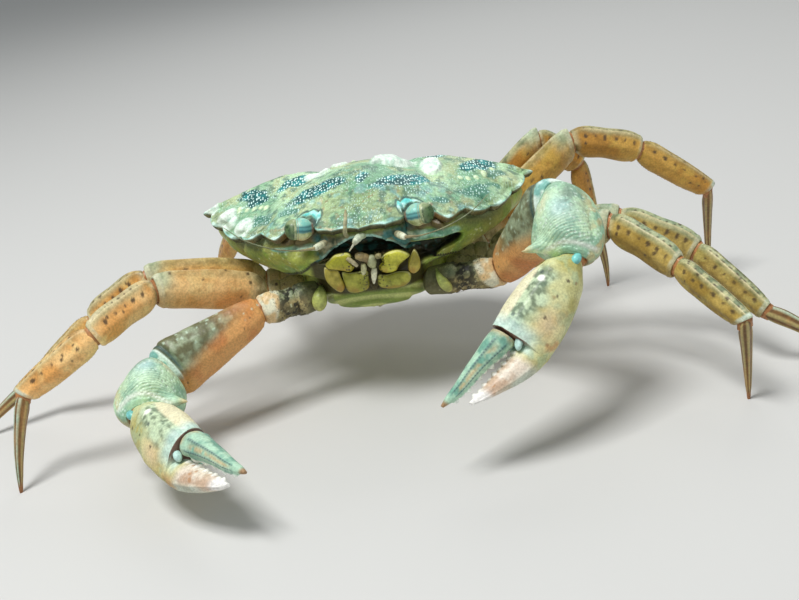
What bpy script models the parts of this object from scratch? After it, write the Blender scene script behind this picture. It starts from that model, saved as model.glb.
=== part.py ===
"""Shore crab, a still life-size model that stands on its eight walking legs.

The crab faces -Y, its left side is +X and up is +Z. The floor is the plane z = 0. CARAPACE_WIDTH is the
distance between the tips of the rearmost side teeth of the shell. Shapes are worked out in body units,
of which the shell is twice HALF_WIDTH wide, and are scaled by UNIT.
"""
import math

import bmesh
import bpy
import numpy as np

CARAPACE_WIDTH = 0.066
HALF_WIDTH = 0.507
UNIT = CARAPACE_WIDTH / (2 * HALF_WIDTH)
GAP = 0.0003 / UNIT
BODY_HEIGHT = 0.54
BODY_PITCH = math.radians(6.5)
CENTRE_X = -0.0169
CENTRE_Y = 0.0478
SMOOTH_ANGLE = math.radians(50.0)

# Carapace edge, in plan: x to the side, y to the rear
FRONT_LOBES = ((0.0, -0.374), (0.075, -0.367))
FRONT_NOTCH = (0.039, -0.354)
ORBIT = ((0.116, -0.340), (0.130, -0.290), (0.166, -0.275), (0.214, -0.280))
ORBIT_SMOOTH = ((0.116, -0.340), (0.150, -0.336), (0.184, -0.328), (0.216, -0.316))
SIDE_TEETH = ((0.247, -0.302), (0.322, -0.238), (0.396, -0.166), (0.464, -0.085), (HALF_WIDTH, 0.0))
TOOTH_NOTCH = 0.026
REAR_CORNER = (0.215, 0.345)
REAR_MIDDLE = (0.0, 0.368)
DOME_HEIGHT = 0.105
DOME_POWER = 2.3
SHELL_EDGE = 0.016
FRONT_DROP = 0.012
SIDE_DROP = 0.038
SIDE_DROP_PLACE = (0.375, 0.085)
REAR_DROP = 0.09
UNDER_DOME = 0.03
SEAM_INSET = 0.90
# Rings of the shell: share of the way out, then how much of the teeth and of the orbit they have
INNER_SHARES = ((0.3, 0.0), (0.6, 0.1), (0.8, 0.7), (SEAM_INSET, 1.0))
OUTER_SHARES = ((0.97, 0.95, 1.0), (0.88, 0.5, 0.85), (0.74, 0.1, 0.5), (0.55, 0.0, 0.1), (0.36, 0.0, 0.0),
                (0.18, 0.0, 0.0))

# Thorax below the seam: share of the way down, scale across, to the front and to the rear, and orbit
THORAX_FLOOR = -0.29
THORAX_LEVELS = (
    (0.00, SEAM_INSET, SEAM_INSET, SEAM_INSET, 1.0),
    (0.16, 0.925, 0.935, 0.925, 1.0),
    (0.31, 0.86, 0.925, 0.92, 0.0),
    (0.45, 0.70, 0.90, 0.90, 0.0),
    (0.55, 0.50, 0.88, 0.88, 0.0),
    (0.59, 0.465, 0.87, 0.87, 0.0),
    (0.84, 0.45, 0.79, 0.81, 0.0),
    (0.95, 0.38, 0.68, 0.70, 0.0),
    (1.00, 0.24, 0.48, 0.45, 0.0),
)
HIP_LEVEL = 5
MOUTH_HALF_WIDTH = 0.165
MOUTH_TOP = (-0.318, -0.10)
MOUTH_BOTTOM = (-0.262, -0.255)

# Limbs: hip place on the thorax edge (y), its height and its clearance in gaps, first joint, then
# length, yaw and rise of each segment. Yaw turns from straight out, and is negative to the front.
WALKING_HIPS = {
    2: (-0.065, -0.235, 0.3),
    3: (0.045, -0.232, 0.5),
    4: (0.150, -0.225, 1.5),
    5: (0.235, -0.235, 0.5),
}
WALKING_KNEES = {
    2: (0.335, -0.092, -0.235),
    3: (0.355, 0.030, -0.222),
    4: (0.340, 0.150, -0.195),
    5: (0.275, 0.262, -0.198),
}
WALKING_SIZES = {2: 1.0, 3: 1.03, 4: 0.98, 5: 0.84}
WALKING_POSES = {
    ("left", 2): ((0.390, -13, 16), (0.237, -43, -23), (0.280, -63, -17), (73, -79)),
    ("left", 3): ((0.400, -8, 10), (0.244, -23, -23), (0.278, -53, -28), (-20, -33)),
    ("left", 4): ((0.405, 20, 36), (0.238, 15, -17), (0.288, 11, -38), (85, -76)),
    ("left", 5): ((0.380, 13, 42), (0.174, 24, -39), (0.218, 28, -80), (25, -80)),
    ("right", 2): ((0.360, -34, 19), (0.226, -48, -13), (0.264, -10, -31), (-70, -66)),
    ("right", 3): ((0.375, -29, 16), (0.229, 6, -31), (0.272, 4, -37), (-30, -29)),
    ("right", 4): ((0.350, 70, 10), (0.215, 65, -20), (0.260, 50, -44), (20, -33)),
    ("right", 5): ((0.300, 84, 7), (0.170, 80, -28), (0.210, 74, -50), (60, -42)),
}
# Share along each leg segment, then height and width
MERUS_FORM = ((0, 0.066, 0.046), (0.07, 0.092, 0.054), (0.3, 0.116, 0.06), (0.7, 0.112, 0.06),
              (0.93, 0.094, 0.058), (1, 0.07, 0.05))
CARPUS_FORM = ((0, 0.056, 0.046), (0.12, 0.08, 0.056), (0.5, 0.096, 0.062), (0.86, 0.092, 0.06),
               (1, 0.066, 0.048))
PROPODUS_FORM = ((0, 0.056, 0.04), (0.1, 0.076, 0.048), (0.4, 0.086, 0.052), (0.85, 0.07, 0.046),
                 (1, 0.052, 0.036))
DACTYLUS_FORM = ((0, 0.04, 0.03), (0.08, 0.046, 0.034), (0.3, 0.04, 0.03), (0.6, 0.029, 0.022),
                 (0.85, 0.018, 0.014), (1, 0.011, 0.009))
HIP_FORM = ((0, 0.076, 0.078), (0.25, 0.088, 0.084), (0.6, 0.07, 0.062), (0.8, 0.074, 0.058),
            (1, 0.062, 0.046))
LEG_BOWS = (0.0, 0.02, 0.03, 0.0, 0.05)

# Claw limbs, left and right: first joint, then length, yaw and rise of each segment
CLAW_HIP = (-0.185, -0.235, 0.9)
CLAW_SHOULDER = {"left": (0.375, -0.20, -0.228), "right": (0.330, -0.255, -0.245)}
CLAW_POSES = {
    "left": ((0.346, -47, 43), (0.191, -86, -33), (0.25, -142, -37)),
    "right": ((0.340, -30, -17), (0.191, -84, -8), (0.25, -128, -7)),
}
# Direction of the upper edge of each hand, of the upper side of the rest, and of the carpus spine
CLAW_UPPER = {"left": (-0.72, 0.20, 0.67), "right": (0.55, 0.10, 0.80)}
CLAW_ROLL = {"left": (-0.3, -0.2, 1.0), "right": (0.2, 0.1, 1.0)}
CARPUS_SPINE = {"left": (-0.85, -0.45, 0.02), "right": (0.85, -0.45, 0.10)}
CLAW_HIP_FORM = ((0, 0.084, 0.086), (0.3, 0.096, 0.092), (0.55, 0.084, 0.084), (0.8, 0.098, 0.09),
                 (1, 0.084, 0.078))
CLAW_MERUS_FORM = ((0, 0.086, 0.078), (0.08, 0.105, 0.092), (0.35, 0.135, 0.112), (0.7, 0.168, 0.126),
                   (0.92, 0.172, 0.126), (1, 0.130, 0.10))
CLAW_CARPUS_FORM = ((0, 0.10, 0.09), (0.12, 0.165, 0.15), (0.35, 0.205, 0.185), (0.65, 0.190, 0.190),
                    (0.88, 0.13, 0.145), (1, 0.078, 0.085))
# Hand: distance along it, upper edge, lower edge and thickness
HAND_FORM = ((0.0, 0.036, -0.032, 0.070), (0.025, 0.060, -0.052, 0.10), (0.08, 0.080, -0.072, 0.122),
             (0.15, 0.087, -0.083, 0.126), (0.21, 0.086, -0.085, 0.118), (0.247, 0.083, -0.084, 0.106))
FIXED_FINGER_FORM = ((0.2505, -0.002, -0.083, 0.090), (0.28, 0.000, -0.077, 0.080),
                     (0.33, 0.006, -0.057, 0.064), (0.38, 0.014, -0.028, 0.048),
                     (0.415, 0.020, -0.006, 0.032), (0.445, 0.026, 0.014, 0.014))
MOVING_FINGER_FORM = ((0.0, 0.078, 0.008, 0.078), (0.03, 0.081, 0.015, 0.078), (0.07, 0.081, 0.028, 0.066),
                      (0.12, 0.082, 0.040, 0.052), (0.17, 0.081, 0.048, 0.037), (0.215, 0.082, 0.062, 0.022),
                      (0.236, 0.080, 0.072, 0.010))
SPINE_REACH = 0.150
SPINE_RADIUS = 0.034
FINGER_TEETH = 7
TOOTH_HEIGHT = 0.009

# Head
EYE_ROOT = (0.131, -0.315, -0.014)
EYE_TIP = (0.210, -0.331, -0.005)
EYE_FORM = ((0.0, 0.034), (0.15, 0.044), (0.38, 0.048), (0.5, 0.060), (0.68, 0.066), (0.84, 0.058),
            (0.95, 0.036))
ANTENNA_ROUTE = ((0.100, -0.335, -0.054), (0.125, -0.385, -0.056), (0.175, -0.405, -0.052),
                 (0.240, -0.412, -0.036), (0.310, -0.405, -0.006), (0.365, -0.388, 0.034))
ANTENNA_WIDTHS = (0.020, 0.019, 0.010, 0.0085, 0.008, 0.005)
# Mouth-leg plates: inner and outer edge, top and bottom, and how far they stand out
MOUTH_PLATES = ((0.008, 0.104, -0.168, -0.246, 0.030), (0.034, 0.110, -0.114, -0.172, 0.034),
                (0.100, 0.136, -0.118, -0.236, 0.024))
PALP_ROUTE = ((0.052, -0.120), (0.030, -0.150), (0.026, -0.190))
PALP_WIDTHS = (0.030, 0.030, 0.014)
PALP_STANDS_OUT = 0.030

# Tail under the breastplate: distance to the rear and height of its middle line, and its width
TAIL_PATH = ((0.358, -0.15), (0.348, -0.195), (0.330, -0.25), (0.294, -0.286), (0.236, -0.303),
             (0.12, -0.3075), (0.0, -0.3075), (-0.09, -0.3075))
TAIL_WIDTHS = (0.25, 0.25, 0.23, 0.20, 0.17, 0.13, 0.085, 0.03)
TAIL_THICKNESS = 0.022
TAIL_SECTION = ((-0.5, -0.3), (-0.42, -0.5), (0, -0.5), (0.42, -0.5), (0.5, -0.3), (0.42, 0.5), (0, 0.72),
                (-0.42, 0.5))


def place(point):
    """Turns a point of the body to its place over the floor."""
    x, y, z = point
    cosine = math.cos(BODY_PITCH)
    sine = math.sin(BODY_PITCH)
    return np.array((x, y * cosine + z * sine, -y * sine + z * cosine + BODY_HEIGHT))


def unit(vector):
    """The vector at length 1."""
    vector = np.asarray(vector, float)
    return vector / np.linalg.norm(vector)


def heading(side, yaw, rise):
    """Direction of a limb segment: yaw from straight out to the side, rise from level, in degrees."""
    yaw = math.radians(yaw)
    rise = math.radians(rise)
    out = 1.0 if side == "left" else -1.0
    return np.array((out * math.cos(yaw) * math.cos(rise), math.sin(yaw) * math.cos(rise), math.sin(rise)))


def span(start, end, bulge, steps):
    """Points from start up to but not at end, on a shallow arc that bulges by a share of the chord."""
    start = np.asarray(start, float)
    end = np.asarray(end, float)
    across = end - start
    normal = np.array((-across[1], across[0]))
    points = []
    for step in range(steps):
        share = step / steps
        points.append(start + across * share - normal * bulge * 4 * share * (1 - share))
    return points


def side_notches():
    """The inner corner in front of each side tooth after the first."""
    notches = []
    for before, tooth in zip(SIDE_TEETH, SIDE_TEETH[1:]):
        along = unit(np.subtract(tooth, before))
        inward = np.array((-along[1], along[0]))
        notches.append(np.asarray(tooth) + inward * TOOTH_NOTCH - along * 0.012)
    return notches


def half_edge(detail, orbit, steps):
    """Half of the carapace edge from the middle of the front to the middle of the rear.

    With detail 1 it has its lobes and teeth, and with 0 it is one smooth line. The orbit's hollow has
    its own amount.
    """
    lobe_notch = np.array(FRONT_NOTCH) + (0, -0.012 * (1 - detail))
    points = span(FRONT_LOBES[0], lobe_notch, -0.12 * detail, steps)
    points += span(lobe_notch, FRONT_LOBES[1], -0.12 * detail, steps)
    hollow = list(np.array(ORBIT) * orbit + np.array(ORBIT_SMOOTH) * (1 - orbit))
    hollow.append(np.array(SIDE_TEETH[0]))
    points += span(FRONT_LOBES[1], hollow[0], -0.1, steps)
    for start, end in zip(hollow, hollow[1:]):
        points += span(start, end, 0.08 * orbit, steps)
    for tooth, notch, after in zip(SIDE_TEETH, side_notches(), SIDE_TEETH[1:]):
        smooth_notch = np.asarray(after) - 0.2 * np.subtract(after, tooth)
        corner = notch * detail + smooth_notch * (1 - detail)
        points += span(tooth, corner, -0.1 * detail - 0.03, 2 * steps)
        points += span(corner, after, 0.0, steps)
    points += span(SIDE_TEETH[-1], REAR_CORNER, 0.03, 5 * steps)
    points += span(REAR_CORNER, (REAR_CORNER[0] - 0.04, REAR_MIDDLE[1] - 0.002), -0.15, steps)
    points += span((REAR_CORNER[0] - 0.04, REAR_MIDDLE[1] - 0.002), REAR_MIDDLE, 0.01, 3 * steps)
    points.append(np.array(REAR_MIDDLE))
    return np.array(points)


def edge(detail, orbit, steps):
    """The whole carapace edge as a closed ring, from the front round by the left side."""
    half = half_edge(detail, orbit, steps)
    other = half[1:-1][::-1] * (-1, 1)
    return np.vstack((half, other))


def edge_height(x, y):
    """Height of the carapace edge: level at the last tooth, lower along the teeth and at the rear."""
    front = -FRONT_DROP * np.clip(-y / 0.3, 0, None) ** 1.5
    rear = -REAR_DROP * np.clip(y / REAR_MIDDLE[1], 0, None) ** 1.2
    middle, reach = SIDE_DROP_PLACE
    side = -SIDE_DROP * np.exp(-(((np.abs(x) - middle) / reach) ** 2)) * np.clip(-y / 0.05, 0, 1)
    return front + rear + side


def shell_swell(x, y):
    """Low swellings of the carapace over the stomach, heart and gills."""
    swell = 0.010 * np.exp(-((x / 0.11) ** 2 + ((y + 0.12) / 0.12) ** 2))
    swell += 0.008 * np.exp(-((x / 0.07) ** 2 + ((y - 0.14) / 0.09) ** 2))
    swell += 0.009 * np.exp(-(((np.abs(x) - 0.27) / 0.12) ** 2 + ((y - 0.03) / 0.13) ** 2))
    groove = 0.008 * np.exp(-(((np.abs(x) - 0.13) / 0.03) ** 2 + ((y - 0.02) / 0.12) ** 2))
    return swell - groove


def shell_top(ring, share):
    """Lifts a ring of the plan onto the upper side of the carapace."""
    x, y = ring[:, 0], ring[:, 1]
    z = edge_height(x / share, y / share) * share ** 2 + DOME_HEIGHT * (1 - share ** DOME_POWER)
    z = z + shell_swell(x, y) * (1 - share ** 4)
    return np.column_stack((x, y, z))


def shell_under(ring, share, clearance=0.0):
    """Sets a ring of the plan on the underside of the carapace."""
    x, y = ring[:, 0], ring[:, 1]
    z = edge_height(x / share, y / share) * share ** 2 + UNDER_DOME * (1 - share ** 2) - SHELL_EDGE
    return np.column_stack((x, y, z - clearance))


def build_mesh(name, points, faces):
    """Makes an object of these points and faces."""
    mesh = bpy.data.meshes.new(name)
    mesh.from_pydata([tuple(point) for point in points], [], faces)
    mesh.update()
    return bpy.data.objects.new(name, mesh)


def loft(rings, start_point=None, end_point=None):
    """Points and faces of a closed body through rings of equal count, ended flat or at a point."""
    count = len(rings[0])
    points = [point for ring in rings for point in ring]
    faces = []
    for level in range(len(rings) - 1):
        for index in range(count):
            following = (index + 1) % count
            low = level * count
            high = low + count
            faces.append((low + index, low + following, high + following, high + index))
    last = (len(rings) - 1) * count
    if start_point is None:
        faces.append(tuple(range(count))[::-1])
    else:
        points.append(start_point)
        faces += [(len(points) - 1, (index + 1) % count, index) for index in range(count)]
    if end_point is None:
        faces.append(tuple(last + index for index in range(count)))
    else:
        points.append(end_point)
        faces += [(len(points) - 1, last + index, last + (index + 1) % count) for index in range(count)]
    return np.array(points, float), faces


def face_outward(piece):
    """Turns all faces of a closed body to point out of it."""
    work = bmesh.new()
    work.from_mesh(piece.data)
    bmesh.ops.recalc_face_normals(work, faces=work.faces)
    work.to_mesh(piece.data)
    work.free()


def finish(name, points, faces, material, anchor):
    """Makes a node: in metres, with its origin at the anchor, faces pointing out, shaded smooth."""
    shift = np.array((CENTRE_X, CENTRE_Y, 0.0))
    anchor = np.asarray(anchor, float)
    local = (np.asarray(points) - anchor) * UNIT
    node = build_mesh(name, local, faces)
    node.location = (anchor + shift) * UNIT
    face_outward(node)
    node.data.materials.append(material)
    node.data.shade_smooth()
    node.data.set_sharp_from_angle(angle=SMOOTH_ANGLE)
    CRAB.objects.link(node)
    node.parent = ROOT
    return node


def surface(name, colour, roughness):
    """A plain material in the part's own colour."""
    material = bpy.data.materials.new(name)
    material.use_nodes = True
    shader = material.node_tree.nodes["Principled BSDF"]
    shader.inputs["Base Color"].default_value = (*colour, 1.0)
    shader.inputs["Roughness"].default_value = roughness
    shader.inputs["Metallic"].default_value = 0.0
    return material


def fuse(node, others):
    """Joins the other bodies to a node as one closed surface and removes them."""
    tools = bpy.data.collections.new(node.name + "_added")
    bpy.context.scene.collection.children.link(tools)
    for other in others:
        tools.objects.link(other)
        other.parent = ROOT
        other.hide_render = True
        other.display_type = "WIRE"
    join = node.modifiers.new("join", "BOOLEAN")
    join.operation = "UNION"
    join.operand_type = "COLLECTION"
    join.collection = tools
    join.solver = "MANIFOLD"
    bpy.context.view_layer.update()
    result = bpy.data.meshes.new_from_object(node.evaluated_get(bpy.context.evaluated_depsgraph_get()))
    node.modifiers.remove(join)
    node.data = result
    keep_largest(node)
    for other in list(tools.objects):
        bpy.data.objects.remove(other)
    bpy.data.collections.remove(tools)


def keep_largest(node):
    """Leaves only the largest closed surface of a node."""
    work = bmesh.new()
    work.from_mesh(node.data)
    left = set(work.verts)
    islands = []
    while left:
        stack = [left.pop()]
        island = set(stack)
        while stack:
            for linked in stack.pop().link_edges:
                for vertex in linked.verts:
                    if vertex in left:
                        left.remove(vertex)
                        island.add(vertex)
                        stack.append(vertex)
        islands.append(island)
    islands.sort(key=len)
    for island in islands[:-1]:
        bmesh.ops.delete(work, geom=list(island), context="VERTS")
    work.to_mesh(node.data)
    work.free()


def added_piece(name, points, faces, node):
    """A body in the same local frame as the node that it will be fused to."""
    shift = np.array((CENTRE_X, CENTRE_Y, 0.0)) * UNIT
    local = np.asarray(points) * UNIT + shift - np.array(node.location)
    piece = build_mesh(name, local, faces)
    piece.location = node.location
    face_outward(piece)
    return piece


def make_carapace():
    """The shell over the back, with three front lobes, two orbits and five teeth on each side."""
    rings = []
    for share, orbit in INNER_SHARES:
        rings.append(shell_under(edge(0.0, orbit, 1) * share, share))
    sharp = edge(1.0, 1.0, 1)
    rings.append(shell_under(sharp * 0.985, 1.0))
    rings.append(shell_top(sharp, 1.0) - (0, 0, SHELL_EDGE * 0.35))
    for share, detail, orbit in OUTER_SHARES:
        rings.append(shell_top(edge(detail, orbit, 1) * share, share))
    under = (0.0, 0.0, UNDER_DOME - SHELL_EDGE)
    over = (0.0, 0.0, DOME_HEIGHT + float(shell_swell(np.array(0.0), np.array(0.0))))
    points, faces = loft(rings, under, over)
    placed = [place(point) for point in points]
    finish("carapace", placed, faces, surface("carapace_green", (0.20, 0.24, 0.17), 0.5), place((0, 0, 0)))


def thorax_ring(level, steps):
    """One ring of the body's wall, from the seam under the carapace down to the breastplate."""
    down, across, ahead, behind, orbit = level
    ring = edge(0.0, orbit, steps)
    seam = shell_under(edge(0.0, 1.0, steps) * SEAM_INSET, SEAM_INSET, GAP)[:, 2]
    x = ring[:, 0] * across
    y = np.where(ring[:, 1] < 0, ring[:, 1] * ahead, ring[:, 1] * behind)
    z = seam * (1 - down) + THORAX_FLOOR * down
    front = mouth_plane(z)
    inside = np.abs(x) < MOUTH_HALF_WIDTH
    y = np.where(inside & (z < MOUTH_TOP[1] + 0.02), np.maximum(y, front), y)
    return np.column_stack((x, y, z))


def mouth_plane(z):
    """How far forward the mouth field lies at a height."""
    share = (z - MOUTH_TOP[1]) / (MOUTH_BOTTOM[1] - MOUTH_TOP[1])
    return MOUTH_TOP[0] + (MOUTH_BOTTOM[0] - MOUTH_TOP[0]) * share


def make_thorax():
    """The body under the shell: cheeks, mouth field and breastplate."""
    rings = []
    for share, orbit in INNER_SHARES[:-1]:
        rings.append(shell_under(edge(0.0, orbit, 1) * share, share, GAP))
    for level in THORAX_LEVELS:
        rings.append(thorax_ring(level, 1))
    points, faces = loft(rings, (0.0, 0.0, UNDER_DOME - SHELL_EDGE - GAP), (0.0, 0.0, THORAX_FLOOR))
    placed = [place(point) for point in points]
    finish("thorax", placed, faces, surface("cheek_yellow", (0.34, 0.36, 0.10), 0.5), place((0, 0, -0.2)))


def make_abdomen():
    """The narrow tail that is folded flat under the breastplate."""
    rings = []
    for index, (y, z) in enumerate(TAIL_PATH):
        before = np.array(TAIL_PATH[max(index - 1, 0)])
        after = np.array(TAIL_PATH[min(index + 1, len(TAIL_PATH) - 1)])
        along = unit(after - before)
        outward = np.array((-along[1], along[0]))
        ring = []
        for across, lift in TAIL_SECTION:
            step = outward * lift * TAIL_THICKNESS
            ring.append((across * TAIL_WIDTHS[index], y + step[0], z + step[1]))
        rings.append(ring)
    points, faces = loft(rings)
    placed = [place(point) for point in points]
    tail = surface("abdomen_yellow", (0.36, 0.36, 0.16), 0.5)
    finish("abdomen", placed, faces, tail, place((0.0, TAIL_PATH[3][0], TAIL_PATH[3][1])))


def ring_frame(axis, reference):
    """Side and upper directions square to an axis, the upper one as near the reference as it can be."""
    upper = unit(np.asarray(reference) - np.dot(reference, axis) * axis)
    return np.cross(axis, upper), upper


def segment_rings(start, end, form, size, reference, planes, bow=0.0, count=12):
    """Rings of one limb segment. The end rings lie in the planes of its joints, half a gap short."""
    axis = unit(end - start)
    length = np.linalg.norm(end - start)
    side, upper = ring_frame(axis, reference)
    first = start + axis * (GAP / 2) / np.dot(axis, planes[0])
    last = end - axis * (GAP / 2) / np.dot(axis, planes[1])
    rings = []
    for share, height, width in form:
        middle = first + (last - first) * share + upper * bow * length * 4 * share * (1 - share)
        weight = abs(2 * share - 1) ** 1.5
        plane = unit(axis * (1 - weight) + (planes[0] if share < 0.5 else planes[1]) * weight)
        ring = []
        for index in range(count):
            angle = 2 * math.pi * index / count
            rise = math.sin(angle)
            narrow = 1 - 0.3 * max(rise, 0.0)
            point = side * math.cos(angle) * narrow * width / 2 + upper * rise * height / 2
            point = point * size
            ring.append(middle + point - axis * np.dot(point, plane) / np.dot(axis, plane))
        rings.append(ring)
    return rings


def joint_plane(before, after):
    """The plane between two segments, square to the middle of their directions."""
    return unit(unit(before) + unit(after))


def hip_place(y, z, clearance):
    """A hip's place on the edge of the breastplate, with the direction out of it."""
    _, across, ahead, behind, _ = THORAX_LEVELS[HIP_LEVEL]
    ring = half_edge(0.0, 0.0, 4)
    x = ring[:, 0] * across
    lengthways = np.where(ring[:, 1] < 0, ring[:, 1] * ahead, ring[:, 1] * behind)
    nearest = int(np.argmin(np.abs(lengthways - y) + np.where(x < 0.04, 1.0, 0.0)))
    along = np.array((x[nearest + 1] - x[nearest - 1], lengthways[nearest + 1] - lengthways[nearest - 1]))
    outward = unit((along[1], -along[0]))
    start = np.array((x[nearest], y)) + outward * GAP * clearance
    return (start[0], start[1], z), (outward[0], outward[1], 0.0)


def mirrored(point, side):
    """The point on this side of the body, for one that is given on the left."""
    return np.array(point) if side == "left" else np.array(point) * (-1, 1, 1)


def turned(direction):
    """A direction of the body, turned with its pitch."""
    return place(direction) - place((0, 0, 0))


def limb_node(name, start, end, form, size, reference, planes, material, bow=0.0, count=12):
    """Makes one limb segment as a node."""
    rings = segment_rings(start, end, form, size, reference, planes, bow, count)
    points, faces = loft(rings)
    return finish(name, points, faces, material, start)


def make_leg(side, number, materials):
    """One walking leg: hip, merus, carpus, propodus and a pointed dactylus that stands on the floor."""
    size = WALKING_SIZES[number]
    hip, outward = hip_place(*WALKING_HIPS[number])
    start = place(mirrored(hip, side))
    out = turned(mirrored(outward, side))
    joints = [place(mirrored(WALKING_KNEES[number], side))]
    poses = WALKING_POSES[(side, number)]
    for length, yaw, rise in poses[:3]:
        joints.append(joints[-1] + heading(side, yaw, rise) * length)
    yaw, rise = poses[3]
    direction = heading(side, yaw, rise)
    joints.append(joints[-1] + direction * joints[-1][2] / -direction[2])
    points = [start] + joints
    directions = [unit(after - before) for before, after in zip(points, points[1:])]
    planes = [out]
    for before, after in zip(directions, directions[1:]):
        planes.append(joint_plane(before, after))
    # The foot's flat lies in the floor, with no gap under it
    down = np.array((0.0, 0.0, -1.0))
    planes.append(down)
    points[5] = points[5] + down * GAP / 2
    up = np.array((0.0, 0.0, 1.0))
    name = "leg%d_%s_" % (number, side)
    forms = (HIP_FORM, MERUS_FORM, CARPUS_FORM, PROPODUS_FORM, DACTYLUS_FORM)
    counts = (12, 12, 12, 12, 8)
    for index, part in enumerate(("hip", "merus", "carpus", "propodus", "dactylus")):
        limb_node(name + part, points[index], points[index + 1], forms[index], size, up,
                  (planes[index], planes[index + 1]), materials[part], LEG_BOWS[index], counts[index])


def make_walking_legs():
    """The eight walking legs and their materials."""
    materials = {
        "hip": surface("leg_hip", (0.40, 0.30, 0.14), 0.5),
        "merus": surface("leg_merus", (0.62, 0.30, 0.12), 0.5),
        "carpus": surface("leg_carpus", (0.55, 0.33, 0.15), 0.5),
        "propodus": surface("leg_propodus", (0.58, 0.33, 0.15), 0.5),
        "dactylus": surface("leg_dactylus", (0.36, 0.26, 0.12), 0.45),
    }
    for side in ("left", "right"):
        for number in WALKING_SIZES:
            make_leg(side, number, materials)


def hand_rings(origin, axis, side_way, upper, form, teeth=0, tooth_at=0, count=20):
    """Rings of a hand or finger, with blunt teeth on the edge that bites."""
    form = np.array(form)
    if teeth:
        stations = np.linspace(0, len(form) - 1, 2 * teeth + 2)
        form = np.column_stack([np.interp(stations, range(len(form)), column) for column in form.T])
    rings = []
    for number, (along, top, bottom, thick) in enumerate(form):
        if teeth and 2 < number < len(form) - 2 and number % 2:
            top += TOOTH_HEIGHT * max(tooth_at, 0)
            bottom -= TOOTH_HEIGHT * max(-tooth_at, 0)
        ring = []
        for index in range(count):
            angle = 2 * math.pi * index / count
            rise = math.copysign(abs(math.sin(angle)) ** 0.9, math.sin(angle))
            height = (top + bottom) / 2 + (top - bottom) / 2 * rise
            ring.append(origin + axis * along + upper * height + side_way * math.cos(angle) * thick / 2)
        rings.append(ring)
    return rings


def make_spine(node, root, tip, radius, count=8):
    """A conical spine, its root sunk in the node it grows from."""
    axis = unit(tip - root)
    side, upper = ring_frame(axis, (0.12, 0.2, 1.0))
    rings = []
    for share, width in ((0.0, 1.0), (0.6, 0.62)):
        middle = root + (tip - root) * share
        rings.append([middle + (side * math.cos(a) + upper * math.sin(a)) * radius * width
                      for a in np.arange(count) * 2 * math.pi / count])
    points, faces = loft(rings, None, tip)
    fuse(node, [added_piece("spine", points, faces, node)])


def make_claw(side, materials):
    """One claw limb: hip, merus, carpus with its inner spine, hand with a fixed finger, moving finger."""
    hip, outward = hip_place(*CLAW_HIP)
    start = place(mirrored(hip, side))
    out = turned(mirrored(outward, side))
    joints = [place(mirrored(CLAW_SHOULDER[side], side))]
    for length, yaw, rise in CLAW_POSES[side]:
        joints.append(joints[-1] + heading(side, yaw, rise) * length)
    points = [start] + joints
    directions = [unit(after - before) for before, after in zip(points, points[1:])]
    planes = [out]
    for before, after in zip(directions, directions[1:]):
        planes.append(joint_plane(before, after))
    name = "claw_%s_" % side
    roll = np.array(CLAW_ROLL[side])
    parts = ("hip", "merus", "carpus")
    forms = (CLAW_HIP_FORM, CLAW_MERUS_FORM, CLAW_CARPUS_FORM)
    for index, part in enumerate(parts):
        node = limb_node(name + part, points[index], points[index + 1], forms[index], 1.0, roll,
                         (planes[index], planes[index + 1]), materials[part], 0.0, 16)
    axis = directions[3]
    side_way, upper = ring_frame(axis, CLAW_UPPER[side])
    middle = points[2] + (points[3] - points[2]) * 0.62
    make_spine(node, middle, middle + unit(CARPUS_SPINE[side]) * SPINE_REACH, SPINE_RADIUS)
    origin = points[3] + axis * (GAP / 2 + 0.012)
    hand = hand_rings(origin, axis, side_way, upper, HAND_FORM)
    hand += hand_rings(origin, axis, side_way, upper, FIXED_FINGER_FORM, FINGER_TEETH, 1)
    hand[0] = flattened(hand[0], points[3], planes[3])
    shape, faces = loft(hand)
    finish(name + "hand", shape, faces, materials["hand"], points[3])
    hinge = origin + axis * (HAND_FORM[-1][0] + 0.004 + GAP)
    finger = hand_rings(hinge, axis, side_way, upper, MOVING_FINGER_FORM, FINGER_TEETH, -1)
    shape, faces = loft(finger)
    finish(name + "finger", shape, faces, materials["finger"], hinge)


def flattened(ring, joint, plane):
    """Moves a ring along a plane's normal until it lies in the joint plane, half a gap off."""
    return [point - plane * (np.dot(point - joint, plane) - GAP / 2) for point in ring]


def make_claws():
    """Both claws and their materials."""
    materials = {
        "hip": surface("claw_hip", (0.36, 0.27, 0.13), 0.5),
        "merus": surface("claw_merus", (0.52, 0.26, 0.11), 0.5),
        "carpus": surface("claw_carpus", (0.42, 0.50, 0.42), 0.45),
        "hand": surface("claw_hand", (0.60, 0.52, 0.30), 0.45),
        "finger": surface("claw_finger", (0.42, 0.52, 0.45), 0.4),
    }
    for side in ("left", "right"):
        make_claw(side, materials)


def make_eye(side, material):
    """A short stalk that widens into the round cornea."""
    root = place(mirrored(EYE_ROOT, side))
    tip = place(mirrored(EYE_TIP, side))
    axis = unit(tip - root)
    across, upper = ring_frame(axis, (0.0, 0.0, 1.0))
    rings = []
    for share, width in EYE_FORM:
        middle = root + (tip - root) * share
        rings.append([middle + (across * math.cos(a) + upper * math.sin(a)) * width / 2
                      for a in np.arange(14) * 2 * math.pi / 14])
    points, faces = loft(rings, None, tip)
    finish("eye_" + side, points, faces, material, root)


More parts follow.
